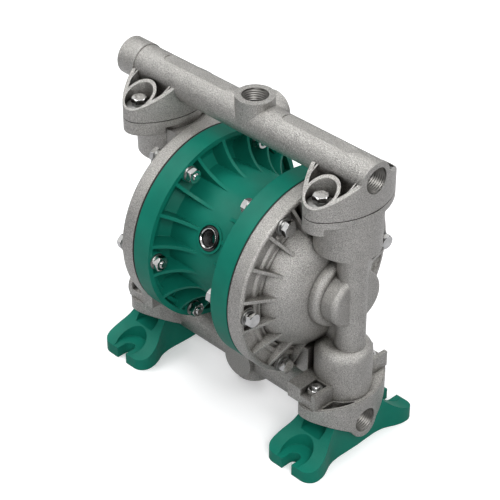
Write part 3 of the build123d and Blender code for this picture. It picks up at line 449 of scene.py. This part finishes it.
def circle_tree():
    """Copies a fastener round both bolt circles, each pointing away from the middle."""
    tree, entry = new_tree("Fasteners round the casings", [
        ("Fastener", "NodeSocketObject", None), ("Circle", "NodeSocketFloat", 0.0672),
        ("Count", "NodeSocketInt", 6), ("Seat", "NodeSocketFloat", flange_face_x),
        ("Height", "NodeSocketFloat", axis_height), ("Turn", "NodeSocketFloat", 1.0),
        ("Seed", "NodeSocketInt", 1), ("Material", "NodeSocketMaterial", None)])
    piece = put(tree, "GeometryNodeObjectInfo", {"Object": entry.outputs["Fastener"]}).outputs["Geometry"]
    ring = put(tree, "GeometryNodeMeshCircle", {
        "Vertices": entry.outputs["Count"], "Radius": entry.outputs["Circle"]}).outputs["Mesh"]
    upright = put(tree, "GeometryNodeTransform", {"Geometry": ring, "Rotation": (pi / 2, 0, -pi / 2)})
    groups = []
    for side in (-1, 1):
        seat = put(tree, "ShaderNodeMath", {0: entry.outputs["Seat"], 1: float(side)}, operation="MULTIPLY")
        offset = put(tree, "ShaderNodeCombineXYZ", {"X": seat.outputs[0], "Z": entry.outputs["Height"]})
        moved = put(tree, "GeometryNodeTransform", {
            "Geometry": upright.outputs["Geometry"], "Translation": offset.outputs[0]})
        groups.append(put(tree, "GeometryNodeInstanceOnPoints", {
            "Points": moved.outputs["Geometry"], "Instance": piece,
            "Rotation": quarter_turns(tree, (0, side * pi / 2, 0), entry)}).outputs["Instances"])
    both = put(tree, "GeometryNodeJoinGeometry")
    for group in groups:
        tree.links.new(group, both.inputs[0])
    close_tree(tree, entry, both.outputs[0])
    return tree


def corner_tree():
    """Copies a fastener to the four corners of the top manifold and, turned over, of the bottom one."""
    tree, entry = new_tree("Fasteners on the manifolds", [
        ("Fastener", "NodeSocketObject", None), ("Length", "NodeSocketFloat", 2 * chest_x),
        ("Width", "NodeSocketFloat", bolt_row_width), ("Seat", "NodeSocketFloat", face_rise),
        ("Height", "NodeSocketFloat", axis_height), ("Turn", "NodeSocketFloat", 1.0),
        ("Seed", "NodeSocketInt", 1), ("Material", "NodeSocketMaterial", None)])
    piece = put(tree, "GeometryNodeObjectInfo", {"Object": entry.outputs["Fastener"]}).outputs["Geometry"]
    corners = put(tree, "GeometryNodeMeshGrid", {
        "Size X": entry.outputs["Length"], "Size Y": entry.outputs["Width"], "Vertices X": 2,
        "Vertices Y": 2}).outputs["Mesh"]
    both = put(tree, "GeometryNodeJoinGeometry")
    for up in (-1, 1):
        rise = put(tree, "ShaderNodeMath", {
            0: entry.outputs["Seat"], 1: float(up), 2: entry.outputs["Height"]}, operation="MULTIPLY_ADD")
        offset = put(tree, "ShaderNodeCombineXYZ", {"Z": rise.outputs[0]})
        moved = put(tree, "GeometryNodeTransform", {"Geometry": corners, "Translation": offset.outputs[0]})
        copies = put(tree, "GeometryNodeInstanceOnPoints", {
            "Points": moved.outputs["Geometry"], "Instance": piece,
            "Rotation": quarter_turns(tree, (0 if up > 0 else pi, 0, 0), entry)})
        tree.links.new(copies.outputs["Instances"], both.inputs[0])
    close_tree(tree, entry, both.outputs[0])
    return tree


def thread_tree():
    """A sleeve of thread ridges round the Z axis, from a flat sheet rolled up."""
    tree, entry = new_tree("Thread", [
        ("Radius", "NodeSocketFloat", 0.0096), ("Depth", "NodeSocketFloat", 0.0007),
        ("Pitch", "NodeSocketFloat", 0.0018), ("Length", "NodeSocketFloat", 0.012),
        ("Rows", "NodeSocketInt", 60), ("Around", "NodeSocketInt", 73),
        ("Material", "NodeSocketMaterial", None)])
    sheet = put(tree, "GeometryNodeMeshGrid", {
        "Size X": 2 * pi, "Size Y": entry.outputs["Length"], "Vertices X": entry.outputs["Around"],
        "Vertices Y": entry.outputs["Rows"]}).outputs["Mesh"]
    spot = put(tree, "ShaderNodeSeparateXYZ", {0: put(tree, "GeometryNodeInputPosition").outputs[0]})
    angle, height = spot.outputs[0], spot.outputs[1]
    turns = put(tree, "ShaderNodeMath", {0: height, 1: entry.outputs["Pitch"]}, operation="DIVIDE")
    part = put(tree, "ShaderNodeMath", {0: angle, 1: 2 * pi}, operation="DIVIDE")
    phase = put(tree, "ShaderNodeMath", {0: turns.outputs[0], 1: part.outputs[0]}, operation="SUBTRACT")
    ridge = put(tree, "ShaderNodeMath", {0: phase.outputs[0], 1: 0.5}, operation="PINGPONG")
    high = put(tree, "ShaderNodeMath", {0: ridge.outputs[0], 1: 2.0}, operation="MULTIPLY")
    drop = put(tree, "ShaderNodeMath", {0: high.outputs[0], 1: entry.outputs["Depth"]}, operation="MULTIPLY")
    radius = put(tree, "ShaderNodeMath", {0: entry.outputs["Radius"], 1: drop.outputs[0]},
                 operation="SUBTRACT").outputs[0]
    cosine = put(tree, "ShaderNodeMath", {0: angle}, operation="COSINE")
    sine = put(tree, "ShaderNodeMath", {0: angle}, operation="SINE")
    across = put(tree, "ShaderNodeMath", {0: cosine.outputs[0], 1: radius}, operation="MULTIPLY")
    deep = put(tree, "ShaderNodeMath", {0: sine.outputs[0], 1: radius}, operation="MULTIPLY")
    spot_rolled = put(tree, "ShaderNodeCombineXYZ", {0: across.outputs[0], 1: deep.outputs[0], 2: height})
    rolled = put(tree, "GeometryNodeSetPosition", {"Geometry": sheet, "Position": spot_rolled.outputs[0]})
    closed = put(tree, "GeometryNodeMergeByDistance", {
        "Geometry": rolled.outputs["Geometry"], "Distance": 0.000001})
    close_tree(tree, entry, closed.outputs["Geometry"])
    return tree


def grown(name, tree, **values):
    """The plain mesh that a tree makes with these values, as an object."""
    seed = bpy.data.objects.new(name + " seed", bpy.data.meshes.new(name + " seed"))
    bpy.context.scene.collection.objects.link(seed)
    modifier = seed.modifiers.new("Tree", "NODES")
    modifier.node_group = tree
    for item in tree.interface.items_tree:
        if item.in_out == "INPUT" and item.name in values:
            modifier[item.identifier] = values[item.name]
    bpy.context.view_layer.update()
    evaluated = seed.evaluated_get(bpy.context.evaluated_depsgraph_get())
    mesh = bpy.data.meshes.new_from_object(evaluated)
    seed.modifiers.clear()
    bpy.data.objects.remove(seed)
    if not mesh.vertices:
        raise RuntimeError(f"the tree made no mesh for {name}")
    mesh.name = name
    thing = bpy.data.objects.new(name, mesh)
    bpy.context.scene.collection.objects.link(thing)
    return thing


def threaded_sleeve(name, tree, radius, depth, pitch, length, material):
    """A thread of a bore's radius, with eight rows to a turn and 72 steps round it."""
    return grown(name, tree, Radius=radius, Depth=depth, Pitch=pitch, Length=length,
                 Rows=int(length / pitch * 8) + 1, Around=73, Material=material)


# Fasteners, each made once round the Z axis with its seat or its tip at z = 0

# Steps round heads, nuts and flat washers: a multiple of six gives each corner its own step
round_segments = 72


def hex_rings(across, low, high, bore, chamfer_low, chamfer_high):
    """Rings of a six-sided piece whose corners are turned off at 30 degrees."""
    flat = across / 2
    face = flat * 0.97
    rings = [[], [], [], [], [], []]
    for n in range(round_segments):
        angle = 2 * pi * n / round_segments
        away = (angle + pi / 6) % (pi / 3) - pi / 6
        radius = flat / cos(away)
        drop = max(0.0, radius - face) * tan(radians(30))
        low_face = face if chamfer_low else radius
        high_face = face if chamfer_high else radius
        for ring, (r, z) in zip(rings, (
                (bore, low), (low_face, low), (radius, low + drop * chamfer_low),
                (radius, high - drop * chamfer_high), (high_face, high), (bore, high))):
            ring.append((r * cos(angle), r * sin(angle), z))
    return rings


def bolt_head(sizes):
    """Chamfered hexagon head with a slight washer face."""
    pad_height = 0.0002
    pad_radius = sizes.across * 0.46
    rings = hex_rings(sizes.across, pad_height, sizes.head, 0.0, False, True)
    pad = turned_rings([(0.0, 0.0), (pad_radius, 0.0), (pad_radius, pad_height)], round_segments)
    return rings_object("bolt head", pad + rings[1:], None, fastener_edge)


def hex_nut(sizes):
    """Nut chamfered on both sides."""
    mouth, bore, lead = sizes.shank * 1.08, sizes.shank * 0.98, 0.0004
    rings = hex_rings(sizes.across, 0.0, sizes.nut, mouth, True, True)
    hole = turned_rings([(bore, sizes.nut - lead), (bore, lead)], round_segments)
    return rings_object("nut", rings + hole + rings[:1], None, fastener_edge)


def flat_washer(sizes, radius):
    """Punched washer with one rounded rim."""
    hole = sizes.shank * 1.1
    height = sizes.washer_thickness
    rim = 0.0003
    profile = [(hole, 0), (radius - rim / 2, 0), (radius, rim / 2), (radius, height - rim),
               (radius - rim * 0.4, height - rim * 0.3), (radius - rim, height), (hole + rim, height),
               (hole, height - rim), (hole, 0)]
    return rings_object("washer", turned_rings(profile, round_segments), None, 40)


def spring_washer(sizes):
    """Split washer: a short square coil with a slanting gap."""
    inner, outer, height = sizes.shank * 1.1, sizes.washer - 0.0008, sizes.spring
    # The gap and its slant, in radians round the washer
    gap, lean, steps = 0.16, 0.16, 64
    lift = height * 0.18
    verts, faces = [], []
    for n in range(steps + 1):
        share = n / steps
        angle = gap / 2 + share * (2 * pi - gap)
        low = share * lift
        high = height - (1 - share) * lift
        for r, z in ((inner, low), (outer, low), (outer, high), (inner, high)):
            slant = (z / height - 0.5) * lean
            verts.append((r * cos(angle + slant), r * sin(angle + slant), z))
    for n in range(steps):
        for k in range(4):
            after = (k + 1) % 4
            faces.append((4 * n + k, 4 * n + after, 4 * (n + 1) + after, 4 * (n + 1) + k))
    faces.append((3, 2, 1, 0))
    faces.append((4 * steps, 4 * steps + 1, 4 * steps + 2, 4 * steps + 3))
    return mesh_object("spring washer", verts, faces, None, 30)


def bolt_end(sizes, length):
    """Threaded end of a bolt whose chamfered tip stands at z = 0, below the rest."""
    pitch, depth, chamfer, play = 0.001, 0.0003, 0.0007, 0.00002
    segments, per_turn = 36, 8
    rows = int(length / pitch * per_turn)
    rings = [[(0.0, 0.0, 0.0)] * segments]
    for row in range(rows + 1):
        z = length * row / rows
        tip = min(0.0, length - z - chamfer)
        ring = []
        for n in range(segments):
            turn = 2 * pi * n / segments
            phase = (z / pitch - n / segments) % 1.0
            cut = depth * (1 - abs(2 * phase - 1))
            r = sizes.shank - play - cut + tip
            ring.append((r * cos(turn), r * sin(turn), z))
        rings.append(ring)
    rings.append([(0.0, 0.0, length)] * segments)
    end = rings_object("bolt end", rings, None, 50)
    end.data.transform(Matrix.Translation((0, 0, length)) @ Matrix.Rotation(pi, 4, "X"))
    return end


class PumpOperator:
    """What the pump's operators share."""
    bl_options = {"REGISTER", "UNDO"}

    def finish(self, things, slot):
        """Puts finished pieces on the pump's fixed body; the slot is not used."""
        for thing in things:
            if not thing.data.vertices:
                raise RuntimeError(f"{thing.name} is empty")
            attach(thing, "root")
        return {"FINISHED"}

    def fasten(self, rows, tree, steel, rolled, **places):
        """Grows each row of fasteners from its master, in place of the nodes that the row names."""
        made = []
        for name, master, seat, turn, gone in rows:
            thing = grown(name, tree, Fastener=master, Seat=seat, Height=axis_height, Turn=turn,
                          Material=rolled if "washers" in name else steel, **places)
            thing.data.set_sharp_from_angle(angle=radians(fastener_edge))
            bpy.data.objects.remove(master)
            if gone:
                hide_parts(*gone)
            made.append(thing)
        return self.finish(made, "stainless")


class PUMP_OT_castings(PumpOperator, bpy.types.Operator):
    """Gives casings, manifolds and diaphragm plates their blasted cast finish."""
    bl_idname = "pump.castings"
    bl_label = "Castings"

    def execute(self, context):
        metal = cast_aluminium(context.scene.pump_look)
        for name in ("right_casing", "left_casing", "top_manifold", "bottom_manifold", "inner_plates",
                     "outer_plates"):
            clothe(name, metal)
        return {"FINISHED"}


class PUMP_OT_mouldings(PumpOperator, bpy.types.Operator):
    """Gives the centre body and the feet their moulded finish."""
    bl_idname = "pump.mouldings"
    bl_label = "Mouldings"

    def execute(self, context):
        plastic = moulded_green(context.scene.pump_look)
        for name in ("centre_body", "right_foot", "left_foot"):
            clothe(name, plastic)
        return {"FINISHED"}


class PUMP_OT_inner_parts(PumpOperator, bpy.types.Operator):
    """Finishes what runs inside the pump and the silencer at its back."""
    bl_idname = "pump.inner_parts"
    bl_label = "Inner parts"

    def execute(self, context):
        steel = machined("Ground steel", "#8C8F92", "#A9ABAE", 1.0, 0.2)
        acetal = machined("Turned acetal", "#CFCDC4", "#DEDCD5", 0.0, 0.4)
        white = machined("Moulded polypropylene", "#D8D8D4", "#E6E6E3", 0.0, 0.45)
        rubber = black_rubber("Pressed black rubber")
        bright = bright_stainless("Bright end screws")
        finishes = {
            steel: ("shaft", "pilot_pin", "valve_spool"),
            acetal: ("shaft_bushes", "pilot_bushes", "valve_sleeve"),
            white: ("lower_valve_seats", "upper_valve_seats", "lower_ball_cages", "upper_ball_cages"),
            rubber: ("shaft_seals", "spool_rings", "valve_cap_rings", "lower_seat_rings", "upper_seat_rings",
                     "left_lower_ball", "right_lower_ball", "left_upper_ball", "right_upper_ball"),
            bright: ("shaft_end_screws", "foot_screws"),
            gloss_black("Gloss black nylon"): ("valve_caps",),
            porous_black(): ("exhaust_silencer",),
        }
        for material, names in finishes.items():
            for name in names:
                clothe(name, material)
        return {"FINISHED"}


class PUMP_OT_casing_hardware(PumpOperator, bpy.types.Operator):
    """Makes bolt heads, washers, nuts and bolt ends round both casings."""
    bl_idname = "pump.casing_hardware"
    bl_label = "Casing hardware"

    def execute(self, context):
        sizes = context.scene.pump_fasteners
        steel = bright_stainless("Bright stainless steel")
        rolled = rolled_stainless("Rolled stainless washers")
        split_seat = flange_face_x + sizes.washer_thickness
        inner_washer_seat = nut_land_x - sizes.washer_thickness
        nut_seat = inner_washer_seat - sizes.nut
        rows = [
            ("casing_bolt_heads", bolt_head(sizes), split_seat + sizes.spring, 1.0, ("casing_bolts",)),
            ("casing_washers", flat_washer(sizes, sizes.washer), flange_face_x, 1.0,
             ("casing_flat_washers",)),
            ("casing_split_washers", spring_washer(sizes), split_seat, 1.0, ("casing_spring_washers",)),
            ("casing_inner_washers", flat_washer(sizes, sizes.washer), inner_washer_seat, 1.0,
             ("casing_nut_washers",)),
            ("casing_hex_nuts", hex_nut(sizes), nut_seat, 1.0, ("casing_nuts",)),
            ("casing_bolt_ends", bolt_end(sizes, 0.005), nut_seat - sizes.casing_tip, 0.0, ()),
        ]
        return self.fasten(rows, circle_tree(), steel, rolled, Circle=sizes.circle, Count=sizes.count,
                           Seed=sizes.seed)


class PUMP_OT_manifold_hardware(PumpOperator, bpy.types.Operator):
    """Makes bolt heads, split and wide washers, nuts and bolt ends on both manifolds."""
    bl_idname = "pump.manifold_hardware"
    bl_label = "Manifold hardware"

    def execute(self, context):
        sizes = context.scene.pump_fasteners
        steel = bright_stainless("Bright manifold hardware")
        rolled = rolled_stainless("Rolled manifold washers")
        washer_seat = face_rise + sizes.pocket_floor
        split_seat = washer_seat + sizes.washer_thickness
        nut_seat = ear_underside_rise - sizes.nut
        nut = hex_nut(sizes)
        nut.data.transform(Matrix.Rotation(pi / 2, 4, "Z"))
        rows = [
            ("manifold_bolt_heads", bolt_head(sizes), split_seat + sizes.spring, 1.0, ("manifold_bolts",)),
            ("manifold_split_washers", spring_washer(sizes), split_seat, 1.0,
             ("manifold_spring_washers",)),
            ("manifold_wide_washers", flat_washer(sizes, sizes.wide_washer), washer_seat, 1.0,
             ("manifold_washers",)),
            ("manifold_hex_nuts", nut, nut_seat, 0.0, ("manifold_nuts",)),
            ("manifold_bolt_ends", bolt_end(sizes, 0.006), nut_seat - sizes.manifold_tip, 0.0, ()),
        ]
        # Another seed than the casings', so that the two sets of bolts aren't turned alike
        return self.fasten(rows, corner_tree(), steel, rolled, Length=2 * chest_x, Width=bolt_row_width,
                           Seed=sizes.seed + 3)


class PUMP_OT_threads(PumpOperator, bpy.types.Operator):
    """Lines the six ports with pipe threads."""
    bl_idname = "pump.threads"
    bl_label = "Threads"

    def execute(self, context):
        sizes = context.scene.pump_threads
        # The threads' metal is darker than the castings' as painted shade inside the bores
        metal = machined("Tapped aluminium with painted bore shade", "#7B7976", "#8E8C88", 1.0, 0.4)
        tree = thread_tree()
        left_length, right_length, middle_length, middle_rise = 0.0125, 0.0100, 0.0090, 0.0136
        ends = [
            ((left_end_thread_x, 0, top_tube_z), (-1, 0, 0), left_length),
            ((right_end_thread_x, 0, top_tube_z), (1, 0, 0), right_length),
            ((left_end_thread_x, 0, bottom_tube_z), (-1, 0, 0), left_length),
            ((right_end_thread_x, 0, bottom_tube_z), (1, 0, 0), right_length),
            ((0, 0, top_tube_z + middle_rise), (0, 0, 1), middle_length),
            ((0, 0, bottom_tube_z - middle_rise), (0, 0, -1), middle_length),
        ]
        made = []
        for place, forward, length in ends:
            thread = threaded_sleeve("thread", tree, sizes.port - 0.00005, 0.0007, sizes.port_pitch, length,
                                     metal)
            made.append(aimed(thread, place, forward))
        threads = joined("port_threads", made)
        threads.data.flip_normals()
        return self.finish([threads], "cast_aluminium")


class PUMP_OT_air_inlet(PumpOperator, bpy.types.Operator):
    """Makes the glossy bush of the air inlet with its thread, and a bright steel ring at its mouth that
    stands in for the highlight on its rounded rim.
    """
    bl_idname = "pump.air_inlet"
    bl_label = "Air inlet"

    def execute(self, context):
        sizes = context.scene.pump_threads
        turn = radians(28)
        forward = Vector((0, -cos(turn), sin(turn)))
        # The bush stands on the hub's pad, this far from the axis
        centre = Vector((0, 0, axis_height)) + forward * 0.0488
        tail, tail_depth, thread_length, thread_middle = 0.0079, 0.009, 0.0098, 0.0032
        black = gloss_black("Gloss black bush")
        # Radius and height from the bore's foot up over the rounded rim and down the tail
        bush_profile = [
            (sizes.inlet, -tail_depth), (sizes.inlet, 0.0022), (0.0063, 0.0030), (0.0068, 0.0034),
            (tail, 0.0034), (0.0087, 0.0031), (0.0092, 0.0025), (0.0094, 0.0018), (0.0094, 0.0001),
            (tail, 0.0001), (tail, -0.0082), (sizes.inlet, -tail_depth)]
        bush = aimed(rings_object("inlet_bush", turned_rings(bush_profile, 96), black, 25), centre, forward)
        # Painted highlight: a mirror-bright ring at the bore's mouth stands in for the shine on the bush's
        # rounded rim
        bright = bright_stainless("Bright inlet highlight ring", 0.04, 0.1)
        highlight_ring_profile = [
            (0.0060, 0.00225), (0.0064, 0.00325), (0.0070, 0.00365), (0.0073, 0.00355), (0.0070, 0.0031),
            (0.0063, 0.0022), (0.0060, 0.00225)]
        ring = aimed(rings_object("inlet_ring", turned_rings(highlight_ring_profile, 96), bright, 40), centre, forward)
        dark = machined("Tapped black nylon", "#2B2B2B", "#3C3C3C", 0.0, 0.22)
        thread = threaded_sleeve("inlet_thread", thread_tree(), sizes.inlet - 0.00003, 0.0005,
                                 sizes.inlet_pitch, thread_length, dark)
        thread.data.flip_normals()
        aimed(thread, centre - forward * thread_middle, forward)
        thread.data.set_sharp_from_angle(angle=radians(40))
        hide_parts("air_inlet_bush")
        self.finish([bush, thread], "black_plastic")
        return self.finish([ring], "stainless")


class PUMP_OT_diaphragms(PumpOperator, bpy.types.Operator):
    """Makes both rubber diaphragms, each with a curved bend between the body and the shaft."""
    bl_idname = "pump.diaphragms"
    bl_label = "Diaphragms"

    def execute(self, context):
        rubber = black_rubber("Pressed diaphragm rubber")
        # Radii of the rim, the start of the bend, the plates' edge and the hole, then the two faces' places
        rim, rim_round, bend, plate, hole = 0.0740, 0.0003, 0.0570, 0.030, 0.0041
        inner_edge, outer_edge = seam_x - 0.0008, seam_x + 0.0008
        inner_centre, outer_centre = 0.042, 0.045

        def bent(face, centre, share):
            """A point between the bend's start and the plates' edge."""
            ease = share * share * (3 - 2 * share)
            return bend - (bend - plate) * share, face - (face - centre) * ease

        shares = [n / 12 for n in range(1, 12)]
        profile = [
            (rim - rim_round, inner_edge), (rim, inner_edge + rim_round), (rim, outer_edge - rim_round),
            (rim - rim_round, outer_edge), (bend, outer_edge)]
        profile += [bent(outer_edge, outer_centre, share) for share in shares]
        profile += [(plate, outer_centre), (hole, outer_centre), (hole, inner_centre), (plate, inner_centre)]
        profile += [bent(inner_edge, inner_centre, share) for share in reversed(shares)]
        profile += [(bend, inner_edge), (rim - rim_round, inner_edge)]
        for side, name in ((1, "right"), (-1, "left")):
            disc = rings_object(f"{name}_membrane", turned_rings(profile, 96), rubber, 40)
            aimed(disc, (0, 0, axis_height), (side, 0, 0))
            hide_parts(f"{name}_diaphragm")
            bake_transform(disc)
        return {"FINISHED"}


class PUMP_OT_stage(PumpOperator, bpy.types.Operator):
    """Sets floor, light and camera."""
    bl_idname = "pump.stage"
    bl_label = "Stage"

    def execute(self, context):
        scene = context.scene
        setup = scene.pump_stage
        material, tree, surface, place = new_material("Pale studio floor")
        tone = ramp(tree, grain(tree, place, 0.5, 2.0), 0.3, 0.7, rgb("#F3F3F4"), (*setup.floor, 1.0))
        # Pale to the eye, but greyer in the mirror of the metal, as in a studio with a small floor
        camera_ray = put(tree, "ShaderNodeLightPath").outputs["Is Camera Ray"]
        seen = blended(tree, camera_ray, rgb("#B4B4B6"), tone)
        fill(tree, surface, {
            "Base Color": seen, "Roughness": 0.6, "Specular IOR Level": 0.2, "Emission Color": rgb("#FFFFFF"),
            "Emission Strength": spread(tree, camera_ray, 0.0, 0.22)})
        reach, depth = 8.0, -0.0002
        corners = [(x, y, depth) for x, y in (
            (-reach, -reach), (reach, -reach), (reach, reach), (-reach, reach))]
        lights = [mesh_object("floor", corners, [(0, 1, 2, 3)], material)]
        # Soft key from the right, a second light from the upper left and a weak one from behind
        for name, place, power, width in (
                ("key", (1.5, -0.9, 1.5), setup.key, 1.0),
                ("left", (-0.9, -0.6, 2.0), setup.key * 0.75, 1.2),
                ("back", (0.2, 1.7, 1.8), setup.key * 0.5, 1.2)):
            lamp = bpy.data.lights.new(name, "AREA")
            lamp.energy = power
            lamp.size = width
            lit = bpy.data.objects.new(name, lamp)
            lit.location = place
            lit.rotation_mode = "QUATERNION"
            lit.rotation_quaternion = (Vector(place) - Vector((0, 0, 0.12))).to_track_quat("Z", "Y")
            scene.collection.objects.link(lit)
            lights.append(lit)
        world = bpy.data.worlds.new("Soft studio")
        scene.world = world
        world.use_nodes = True
        sky = world.node_tree
        sky.nodes.clear()
        direction = put(sky, "ShaderNodeTexCoord").outputs["Generated"]
        rise = put(sky, "ShaderNodeSeparateXYZ", {0: direction}).outputs["Z"]
        # Dark walls low down, which bright steel mirrors as black, under a white ceiling
        band = ramp(sky, rise, 0.14, 0.52, rgb("#1B1C1F"), rgb("#FFFFFF"))
        camera_ray = put(sky, "ShaderNodeLightPath").outputs["Is Camera Ray"]
        seen = blended(sky, camera_ray, band, rgb("#FFFFFF"))
        light = put(sky, "ShaderNodeBackground", {
            "Color": seen, "Strength": spread(sky, camera_ray, setup.sky, 1.0)})
        put(sky, "ShaderNodeOutputWorld", {"Surface": light.outputs[0]})
        # The photograph's point of view: the camera's own right, up and backward directions
        camera = bpy.data.cameras.new("camera")
        camera.lens = setup.lens
        camera.sensor_width = 36
        camera.clip_start = 0.05
        camera.clip_end = 50
        viewer = bpy.data.objects.new("camera", camera)
        up = Vector((-0.407, 0.398, 0.822))
        back = Vector((0.5877, -0.5751, 0.5691)).normalized()
        right = up.cross(back).normalized()
        up = back.cross(right)
        turn = Matrix((right, up, back)).transposed().to_4x4()
        viewer.matrix_world = Matrix.Translation((0.73244, -0.72173, 0.83244)) @ turn
        scene.collection.objects.link(viewer)
        scene.camera = viewer
        scene.view_settings.view_transform = "Standard"
        return {"FINISHED"}


class PUMP_PT_panel(bpy.types.Panel):
    """Lists the pump's pieces and settings."""
    bl_label = "Pump"
    bl_idname = "PUMP_PT_panel"
    bl_space_type = "VIEW_3D"
    bl_region_type = "UI"
    bl_category = "Pump"

    def draw(self, context):
        scene = context.scene
        for name, group in (("Look", scene.pump_look), ("Fasteners", scene.pump_fasteners),
                            ("Threads", scene.pump_threads), ("Stage", scene.pump_stage)):
            box = self.layout.box()
            box.label(text=name)
            for key in group.__annotations__:
                box.prop(group, key)
        for operator in operators:
            self.layout.operator(operator.bl_idname)


groups = {"pump_look": PumpLook, "pump_fasteners": PumpFasteners, "pump_threads": PumpThreads,
          "pump_stage": PumpStage}
operators = (PUMP_OT_castings, PUMP_OT_mouldings, PUMP_OT_inner_parts, PUMP_OT_casing_hardware,
             PUMP_OT_manifold_hardware, PUMP_OT_threads, PUMP_OT_air_inlet, PUMP_OT_diaphragms, PUMP_OT_stage)


def register():
    """Registers settings, operators and panel."""
    for cls in (*groups.values(), *operators, PUMP_PT_panel):
        bpy.utils.register_class(cls)
    for name, cls in groups.items():
        setattr(bpy.types.Scene, name, bpy.props.PointerProperty(type=cls))


def unregister():
    """Removes what register added."""
    for name in groups:
        delattr(bpy.types.Scene, name)
    for cls in (PUMP_PT_panel, *reversed(operators), *reversed(list(groups.values()))):
        bpy.utils.unregister_class(cls)


def main():
    """Builds the whole pump in order."""
    register()
    for operator in operators:
        group, name = operator.bl_idname.split(".")
        getattr(getattr(bpy.ops, group), name)()


if __name__ == "__main__":
    main()
